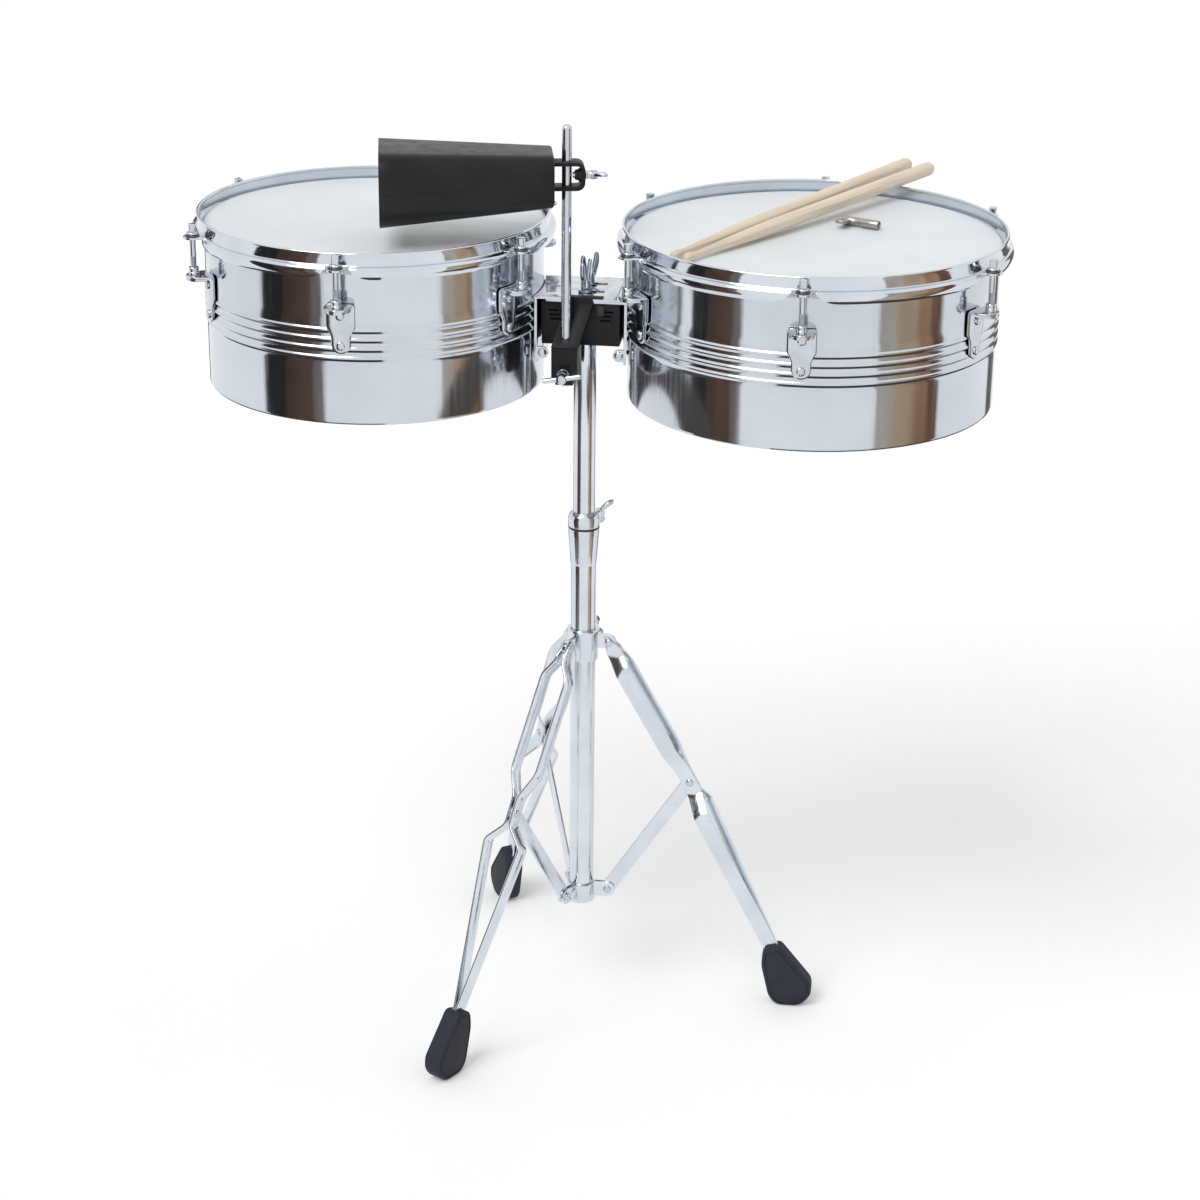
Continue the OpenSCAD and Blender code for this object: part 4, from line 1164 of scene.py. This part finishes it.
def strap_frames():
    """Centre line of a leg strap: in-plane place, in-plane direction and sideways bow at each step."""
    size = stand()
    start, joint, toe = Vector((PIVOT_OUT, PIVOT_Z)), Vector(JOINT), Vector(TOE)
    upper, lower = (joint - start).length, (toe - joint).length
    down_1, down_2 = (joint - start) / upper, (toe - joint) / lower
    thick = size.strap_thickness
    near, mid = 2.5 + 0.3 + thick / 2, thick / 2 + 0.3 + thick / 2
    high, wide = size.upper_bow + thick / 2, size.lower_bow + thick / 2
    bows = [(-7.8, near), (15, near), (33, high), (upper - 43, high), (upper - 16, mid), (upper + 13, mid)]
    bows += [(upper + 33, wide), (upper + lower - 12, 0.25 + thick / 2), (upper + lower, 0.25 + thick / 2)]
    line = rounded_path([(s, bow, 0) for s, bow in bows], 5, 5)
    steps = []
    for i, point in enumerate(line):
        s, bow = point.x, point.y
        ahead = line[min(i + 1, len(line) - 1)] - line[max(i - 1, 0)]
        lean = Vector((ahead.x, ahead.y)).normalized()
        if s <= upper:
            place, along_leg = start + down_1 * s, down_1
        else:
            place, along_leg = joint + down_2 * (s - upper), down_2
        blend = min(max((s - upper + 14) / 28, 0), 1)
        blend = blend * blend * (3 - 2 * blend)
        along_leg = (down_1 * (1 - blend) + down_2 * blend).normalized()
        if abs(s - upper) < 14:
            bulge = (down_2 - down_1) * (14 - abs(s - upper)) * 0.16
            place = place + bulge
        steps.append((s, place, along_leg, bow, lean))
    return steps


def strap_data(side):
    """One bent strap of a leg on the +y or -y side, in the leg's own plane x, z."""
    width, thick = stand().strap_width, stand().strap_thickness
    verts, rings = [], 0
    for s, place, along_leg, bow, lean in strap_frames():
        across = Vector((-along_leg.y, along_leg.x))
        half = width / 2
        if s < 0:
            half = math.sqrt(max(half * half - s * s, 1.0))
        # the sheet's normal leans with the bow
        normal_side, normal_along = lean.x, -lean.y
        for u, t in ((-1, -1), (-1, 1), (1, 1), (1, -1)):
            p = place + across * half * u + along_leg * normal_along * thick / 2 * t
            verts.append((p.x, side * (bow + normal_side * thick / 2 * t), p.y))
        rings += 1
    faces = ring_faces(rings, 4)
    faces += [(3, 2, 1, 0), tuple(rings * 4 - 4 + j for j in range(4))]
    return verts, faces


def build_leg(index):
    """Pair of bent straps with their rivets."""
    spot = at(POST) @ turned(LEG_AZIMUTHS[index])
    verts, faces = placed(joined([strap_data(1), strap_data(-1)]), spot)
    piece = new_piece(f"leg_{index}_straps", verts, faces, 30)
    round_edges(piece, 0.55)
    stand_part(piece, f"leg_{index}", f"leg_{index}")
    rivets = softened(f"leg_rivets_{index}", 0.2, 1)
    chrome_fitting(rivets, f"leg_{index}", f"leg_rivets_{index}")


def round_edges(piece, width, segments=2, angle=40):
    bevel = piece.modifiers.new("rounded_edges", "BEVEL")
    bevel.width = width * MM
    bevel.segments = segments
    bevel.limit_method = "ANGLE"
    bevel.angle_limit = math.radians(angle)
    settle(piece)
    shade(piece, 35)


def build_brace(index):
    """Flat strap from the bottom collar to the leg's joint, with pressed round ends."""
    start, end = Vector(BRACE), Vector(JOINT)
    length = (end - start).length
    half = 7.2
    outline = arc((0, 0), half, 90, 270, 14) + arc((length, 0), half, -90, 90, 14)
    thick = stand().strap_thickness
    part = slab_data(outline, -thick / 2, thick / 2, 0.5, 3)
    angle = math.atan2(end.y - start.y, end.x - start.x)
    flat = Matrix.Rotation(-angle, 4, "Y") @ Matrix.Rotation(math.pi / 2, 4, "X")
    spot = at(POST) @ turned(LEG_AZIMUTHS[index]) @ at((start.x, 0, start.y)) @ flat
    verts, faces = placed(part, spot)
    piece = new_piece(f"brace_{index}_strap", verts, faces, 35)
    stand_part(piece, f"brace_{index}", f"brace_{index}")


def foot_outline():
    """Side view of a rubber foot from its sole up, with round corners."""
    toe = TOE[0]
    corners = [(toe + 5, 0), (toe + 25, 0), (toe + 33, 5), (toe + 40, 15), (toe + 39.4, 28), (toe + 5, 70)]
    corners += [(toe - 13, 63), (toe - 14, 46), (toe - 6, 12), (toe - 2, 5)]
    closed = [*corners, corners[0], corners[1]]
    line = rounded_path([(x, z, 0) for x, z in closed], 5, 4)
    return [(p.x, p.y) for p in line[1:-1]]


def build_foot(index):
    """Moulded rubber foot: stepped sole, raised cheeks and a groove that follows its outline."""
    outline = foot_outline()
    inward = offsets(outline)
    levels = [(2.6, 10.0), (2.0, 9.8), (1.2, 9.2), (0.5, 8.3), (0.3, 7.6), (0.0, 7.4)]
    half = [(2.9, 10.0), (3.3, 9.9), (3.5, 9.3), (4.1, 9.3), (4.4, 9.9), (4.8, 10.0)]
    rows = [(i, -y) for i, y in reversed(half)] + [(i, -y) for i, y in levels] + [(0.0, 0)]
    rows += [(i, y) for i, y in reversed(levels)] + half
    verts, n = [], len(outline)
    for inset, y in rows:
        for (x, z), d in zip(outline, inward):
            verts.append((x + d[0] * inset, y, z + d[1] * inset))
    faces = ring_faces(len(rows), n)
    faces += [tuple(reversed(range(n))), tuple(range((len(rows) - 1) * n, len(rows) * n))]
    spot = at(POST) @ turned(LEG_AZIMUTHS[index])
    piece = new_piece(f"foot_{index}_moulded", moved(verts, spot), faces, 38)
    finish_piece(piece, f"leg_{index}", "foot_rubber", finish_of(foot_rubber), f"foot_{index}")


# ---------------------------------------------------------------- loose pieces


def build_sticks():
    """Tapered sticks with rounded tips, each lying on the head and the far rim."""
    drum = DRUMS[0]
    length, r = 393.0, 7.0
    tip_r = 4.4
    head_top = drum.centre.z + drum.depth + HEAD_RISE
    for name, tip, turn in (("stick_1", (96.3, -105.4), 57.9), ("stick_2", (109.0, -112.8), 56.1)):
        from_centre = Vector(tip) + Vector((POST.x, POST.y)) - Vector((drum.centre.x, drum.centre.y))
        heading = Vector((math.cos(math.radians(turn)), math.sin(math.radians(turn))))
        b = from_centre.dot(heading)
        reach = drum.radius + 5.4
        cross = -b + math.sqrt(b * b - from_centre.length_squared + reach * reach)
        rise = math.asin((sizes().rim_height - 0.6 + r - tip_r) / cross)
        profile = [(0, -4.4), (1.2, -4.25), (2.3, -3.8), (3.2, -3.0), (4.0, -1.6), (tip_r, 0.4), (tip_r, 2.8)]
        profile += [(4.2, 5), (3.7, 7.4), (3.1, 9.6), (2.95, 11.4), (3.05, 14), (3.6, 30), (5.04, 60)]
        profile += [(6.1, 86), (r - 0.3, 110), (r, 130)] + [(r, 130 + (length - 140) * k / 5) for k in range(1, 6)]
        profile += [(r - 0.5, length - 7.2), (r - 1.6, length - 5.2), (r - 3.4, length - 4.5), (0, length - 4.4)]
        verts, faces = lathe_data(profile, 40)
        piece = new_piece(f"{name}_turned", verts, faces, 60)
        place = at((tip[0] + POST.x, tip[1] + POST.y, head_top + tip_r + 0.3))
        matrix = place @ turned(turn) @ Matrix.Rotation(math.pi / 2 - rise, 4, "Y")
        matrix.translation = matrix.translation * MM
        piece.matrix_world = matrix
        finish_piece(piece, name, "maple", finish_of(lacquered_maple), name)


def build_key():
    """Drum key: turned barrel with a square socket and a cast wing handle."""
    drum = DRUMS[0]
    head_top = drum.centre.z + drum.depth + HEAD_RISE
    spot = at((244.7 + POST.x, 49 + POST.y, head_top + 4.8)) @ turned(-25) @ Matrix.Rotation(math.pi / 2, 4, "Y")
    barrel = [(0, 0), (3.2, 0), (3.9, 0.3), (4.4, 1), (4.4, 11.6), (4.0, 12.6), (3.9, 13.4), (3.9, 19.6)]
    barrel += [(4.15, 20.2), (4.5, 21.2), (4.5, 38.2), (4.2, 39), (3.3, 39), (3.0, 38.4), (3.0, 27), (0, 27)]
    verts, faces = placed(lathe_data(barrel, 36), spot)
    piece = new_piece("key_barrel_turned", verts, faces, 36)
    finish_piece(piece, "drum_key", "nickel", finish_of(aged_nickel), "key_barrel")
    half = 20.0
    side = [(-4.4, 3.2), (-5.4, 9), (-6, half - 5), (-5.4, half - 1.6), (-3.6, half), (2.6, half), (4.4, half - 1.4)]
    side += [(5, half - 4.5), (4.4, 9), (3.6, 3.2)]
    outline = side + [(x, -y) for x, y in reversed(side)]
    wing = slab_data(outline, -1.7, 1.7, 0.7, 3)
    # the wing's flat lies along the barrel: its x runs down the barrel's axis
    stand_up = at((0, 0, 6.5)) @ Matrix.Rotation(-math.pi / 2, 4, "Y")
    verts, faces = placed(wing, spot @ turned(-8) @ stand_up)
    piece = new_piece("key_wings_cast", verts, faces, 40)
    finish_piece(piece, "drum_key", "nickel", finish_of(aged_nickel), "key_wings")


# ---------------------------------------------------------------- stage

CAMERA_AZIMUTH = 6.94
CAMERA_PITCH = 22.245
CAMERA_ROLL = 0.581
# in metres: the camera's distance, and its aim above the floor and to the right of the post
CAMERA_DISTANCE = 2.8594
AIM_HEIGHT = 0.45
AIM_RIGHT = 0.01687
CARD_DISTANCE = 1400.0
CARD_HEIGHT = 1250.0
# where a card's strip on the floor starts, as a share of the card's distance
CARD_STRIP_START = 0.62
RING_HEIGHT = 560.0


def floor_material():
    material, tree, shader, coordinates = material_nodes("pale_floor")
    tone = noise(tree, coordinates, 1.5, 3)
    tree.links.new(ramp(tree, tone, (0.93, 0.93, 0.93), (0.95, 0.95, 0.95)), shader.inputs["Base Color"])
    shader.inputs["Roughness"].default_value = 0.9
    shader.inputs["Specular IOR Level"].default_value = 0.1
    paths = tree.nodes.new("ShaderNodeLightPath")
    seen = larger(tree, paths.outputs["Is Camera Ray"], paths.outputs["Is Glossy Ray"])
    lift = tree.nodes.new("ShaderNodeMath")
    lift.operation = "MULTIPLY"
    lift.inputs[1].default_value = 0.12
    tree.links.new(seen, lift.inputs[0])
    shader.inputs["Emission Color"].default_value = (1, 1, 1, 1)
    tree.links.new(lift.outputs[0], shader.inputs["Emission Strength"])
    return material


def card_material(name, colour):
    """Matt painted card, a little uneven from top to bottom."""
    material, tree, shader, coordinates = material_nodes(name)
    tone = noise(tree, coordinates, 2.5, 2, (1, 1, 0.4))
    tree.links.new(ramp(tree, tone, scaled(colour, 0.7), scaled(colour, 1.3)), shader.inputs["Base Color"])
    shader.inputs["Roughness"].default_value = 0.9
    return material


def build_floor():
    half = stage_settings().floor_size / 2 / MM
    verts = [(-half, -half, 0), (half, -half, 0), (half, half, 0), (-half, half, 0)]
    piece = new_piece("floor", verts, [(0, 1, 2, 3)])
    piece.data.materials.append(floor_material())


def build_cards():
    """Cards seen only in polished metal: standing, lying on the floor, and as part rings under the drums."""
    cards = [
        ("dark_left", -76, -62, (0.022, 0.02, 0.02)),
        ("umber_left", -62, -44, (0.115, 0.064, 0.042)),
        ("grey_left", -44, -38, (0.21, 0.17, 0.16)),
        ("sand_right", 41, 50, (0.52, 0.47, 0.40)),
        ("tan_right", 50, 62, (0.54, 0.39, 0.26)),
        ("russet_right", 62, 70, (0.44, 0.235, 0.13)),
        ("brown_right", 70, 77, (0.17, 0.08, 0.045)),
        ("grey_far_right", 127, 140, (0.12, 0.12, 0.12)),
        ("grey_far_left", -160, -146, (0.09, 0.085, 0.085)),
    ]
    for name, start, end, colour in cards:
        turn = turned(CAMERA_AZIMUTH + (start + end) / 2)
        spread_out = math.tan(math.radians(end - start) / 2)
        w, near = CARD_DISTANCE * spread_out, CARD_DISTANCE * CARD_STRIP_START
        standing = [(-w, -CARD_DISTANCE, 2), (w, -CARD_DISTANCE, 2)]
        standing += [(w, -CARD_DISTANCE, CARD_HEIGHT), (-w, -CARD_DISTANCE, CARD_HEIGHT)]
        lying = [(-near * spread_out, -near, 1), (near * spread_out, -near, 1)]
        lying += [(w, -CARD_DISTANCE, 1), (-w, -CARD_DISTANCE, 1)]
        add_card(f"card_{name}", moved(standing + lying, turn), [(0, 1, 2, 3), (4, 5, 6, 7)], colour)
    for drum in DRUMS:
        inward = 180 if drum.centre.x > POST.x else 0
        turns = [math.radians(inward + 75 + 210 * k / 48) for k in range(49)]
        reach = (drum.radius + 14, drum.radius + 190)
        verts = [(r * math.cos(t), r * math.sin(t), 0) for t in turns for r in reach]
        faces = [(2 * k, 2 * k + 1, 2 * k + 3, 2 * k + 2) for k in range(48)]
        verts = moved(verts, at((drum.centre.x, drum.centre.y, RING_HEIGHT)))
        add_card(f"card_ring_{drum.name}", verts, faces, (0.05, 0.042, 0.038))


def add_card(name, verts, faces, colour):
    piece = new_piece(name, verts, faces)
    piece.data.materials.append(card_material(name, colour))
    piece.visible_camera = False
    piece.visible_diffuse = False
    piece.visible_shadow = False
    piece.visible_transmission = False


def build_world():
    stage = stage_settings()
    world = bpy.data.worlds.new("soft_white_room")
    bpy.context.scene.world = world
    world.use_nodes = True
    tree = world.node_tree
    background = tree.nodes["Background"]
    background.inputs["Color"].default_value = (1, 1, 1, 1)
    background.inputs["Strength"].default_value = stage.sky
    white = tree.nodes.new("ShaderNodeBackground")
    white.inputs["Color"].default_value = (1, 1, 1, 1)
    white.inputs["Strength"].default_value = 1.0
    paths = tree.nodes.new("ShaderNodeLightPath")
    seen = larger(tree, paths.outputs["Is Camera Ray"], paths.outputs["Is Glossy Ray"])
    seen = larger(tree, seen, paths.outputs["Is Transmission Ray"])
    mix = tree.nodes.new("ShaderNodeMixShader")
    tree.links.new(seen, mix.inputs["Fac"])
    tree.links.new(background.outputs[0], mix.inputs[1])
    tree.links.new(white.outputs[0], mix.inputs[2])
    tree.links.new(mix.outputs[0], tree.nodes["World Output"].inputs["Surface"])
    sun = bpy.data.objects.new("key_light", bpy.data.lights.new("key_light", "SUN"))
    sun.data.energy = stage.sun
    sun.data.angle = math.radians(35)
    sun.rotation_euler = (math.radians(32), math.radians(-24), 0)
    bpy.context.scene.collection.objects.link(sun)


def build_camera():
    data = bpy.data.cameras.new("camera")
    data.sensor_width = 36
    data.lens = stage_settings().lens
    data.clip_end = 100
    camera = bpy.data.objects.new("camera", data)
    bpy.context.scene.collection.objects.link(camera)
    azimuth, pitch, roll = (math.radians(a) for a in (CAMERA_AZIMUTH, CAMERA_PITCH, CAMERA_ROLL))
    forward = Vector((-math.sin(azimuth) * math.cos(pitch), math.cos(azimuth) * math.cos(pitch), -math.sin(pitch)))
    right = Vector((math.cos(azimuth), math.sin(azimuth), 0))
    up = right.cross(forward)
    rolled_right = right * math.cos(roll) + up * math.sin(roll)
    rolled_up = up * math.cos(roll) - right * math.sin(roll)
    target = POST * MM + Vector((0, 0, AIM_HEIGHT)) + right * AIM_RIGHT
    camera.matrix_world = Matrix.Translation(target - forward * CAMERA_DISTANCE) @ Matrix(
        (
            (rolled_right.x, rolled_up.x, -forward.x, 0),
            (rolled_right.y, rolled_up.y, -forward.y, 0),
            (rolled_right.z, rolled_up.z, -forward.z, 0),
            (0, 0, 0, 1),
        )
    )
    bpy.context.scene.camera = camera
    bpy.context.scene.view_settings.view_transform = "Standard"


# ---------------------------------------------------------------- operators


class TIMBALES_OT_shells(bpy.types.Operator):
    """Rolls the two steel shells with their beads and lips"""

    bl_idname = "timbales.shells"
    bl_label = "Shells"

    def execute(self, context):
        for drum in DRUMS:
            build_shell(drum)
        return {"FINISHED"}


class TIMBALES_OT_heads(bpy.types.Operator):
    """Stretches a coated film over each shell"""

    bl_idname = "timbales.heads"
    bl_label = "Heads"

    def execute(self, context):
        for drum in DRUMS:
            build_head(drum)
        return {"FINISHED"}


class TIMBALES_OT_hoops(bpy.types.Operator):
    """Presses the hoops with their skirts and ears"""

    bl_idname = "timbales.hoops"
    bl_label = "Hoops"

    def execute(self, context):
        for drum in DRUMS:
            build_hoop(drum)
        return {"FINISHED"}


class TIMBALES_OT_lugs(bpy.types.Operator):
    """Puts six pressed lugs with their screws on each shell"""

    bl_idname = "timbales.lugs"
    bl_label = "Lugs"

    def execute(self, context):
        for drum in DRUMS:
            build_lugs(drum)
            build_lug_screws(drum)
        return {"FINISHED"}


class TIMBALES_OT_rods(bpy.types.Operator):
    """Fits the tension rods, their nuts and washers"""

    bl_idname = "timbales.rods"
    bl_label = "Tension rods"

    def execute(self, context):
        for drum in DRUMS:
            build_rods(drum)
            build_rod_nuts(drum)
        return {"FINISHED"}


class TIMBALES_OT_bracket(bpy.types.Operator):
    """Makes the black bracket box, the drum plates and their wing bolts"""

    bl_idname = "timbales.bracket"
    bl_label = "Bracket"

    def execute(self, context):
        build_bracket()
        for drum in DRUMS:
            build_plate(drum)
        build_plate_bolts()
        return {"FINISHED"}


class TIMBALES_OT_bell_arm(bpy.types.Operator):
    """Makes the cowbell's arm, rod and T bolt"""

    bl_idname = "timbales.bell_arm"
    bl_label = "Bell arm"

    def execute(self, context):
        build_arm()
        build_arm_bolt()
        build_bell_rod()
        return {"FINISHED"}


class TIMBALES_OT_bell(bpy.types.Operator):
    """Presses the cowbell with its strap and wing bolt"""

    bl_idname = "timbales.bell"
    bl_label = "Cowbell"

    def execute(self, context):
        build_bell()
        build_bell_strap()
        build_bell_bolt()
        return {"FINISHED"}


class TIMBALES_OT_post(bpy.types.Operator):
    """Makes the post's tubes, the height clamp and its bolt"""

    bl_idname = "timbales.post"
    bl_label = "Post"

    def execute(self, context):
        build_post()
        build_clamp()
        build_collars()
        build_clamp_bolts()
        return {"FINISHED"}


class TIMBALES_OT_legs(bpy.types.Operator):
    """Bends the straps of the three legs and fits braces and rubber feet"""

    bl_idname = "timbales.legs"
    bl_label = "Legs"

    def execute(self, context):
        for index in LEG_AZIMUTHS:
            build_leg(index)
            build_brace(index)
            build_foot(index)
        return {"FINISHED"}


class TIMBALES_OT_loose_pieces(bpy.types.Operator):
    """Lays the sticks and the drum key on the larger head"""

    bl_idname = "timbales.loose_pieces"
    bl_label = "Sticks and key"

    def execute(self, context):
        build_sticks()
        build_key()
        return {"FINISHED"}


class TIMBALES_OT_stage(bpy.types.Operator):
    """Sets the floor, the light and the camera"""

    bl_idname = "timbales.stage"
    bl_label = "Stage"

    def execute(self, context):
        build_world()
        build_floor()
        build_cards()
        build_camera()
        return {"FINISHED"}


OPERATORS = [
    TIMBALES_OT_shells,
    TIMBALES_OT_heads,
    TIMBALES_OT_hoops,
    TIMBALES_OT_lugs,
    TIMBALES_OT_rods,
    TIMBALES_OT_bracket,
    TIMBALES_OT_bell_arm,
    TIMBALES_OT_bell,
    TIMBALES_OT_post,
    TIMBALES_OT_legs,
    TIMBALES_OT_loose_pieces,
    TIMBALES_OT_stage,
]


class TIMBALES_PT_panel(bpy.types.Panel):
    """Sizes, colours and one button for each group of pieces"""

    bl_label = "Timbales"
    bl_idname = "TIMBALES_PT_panel"
    bl_space_type = "VIEW_3D"
    bl_region_type = "UI"
    bl_category = "Timbales"

    def draw(self, context):
        for group in GROUPS:
            box = self.layout.box()
            holder = getattr(context.scene, group)
            for name in holder.bl_rna.properties.keys():
                if name not in ("rna_type", "name"):
                    box.prop(holder, name)
        for operator in OPERATORS:
            self.layout.operator(operator.bl_idname)


GROUPS = {
    "timbale_drums": DrumSizes,
    "timbale_stand": StandSizes,
    "timbale_bell": BellSizes,
    "timbale_colours": FinishColours,
    "timbale_stage": StageSettings,
}


def register():
    for kind in [*GROUPS.values(), *OPERATORS, TIMBALES_PT_panel]:
        bpy.utils.register_class(kind)
    for name, group in GROUPS.items():
        setattr(bpy.types.Scene, name, PointerProperty(type=group))


def unregister():
    for name in GROUPS:
        delattr(bpy.types.Scene, name)
    for kind in reversed([*GROUPS.values(), *OPERATORS, TIMBALES_PT_panel]):
        bpy.utils.unregister_class(kind)


def main():
    register()
    for operator in OPERATORS:
        group, name = operator.bl_idname.split(".")
        getattr(getattr(bpy.ops, group), name)()


if __name__ == "__main__":
    main()
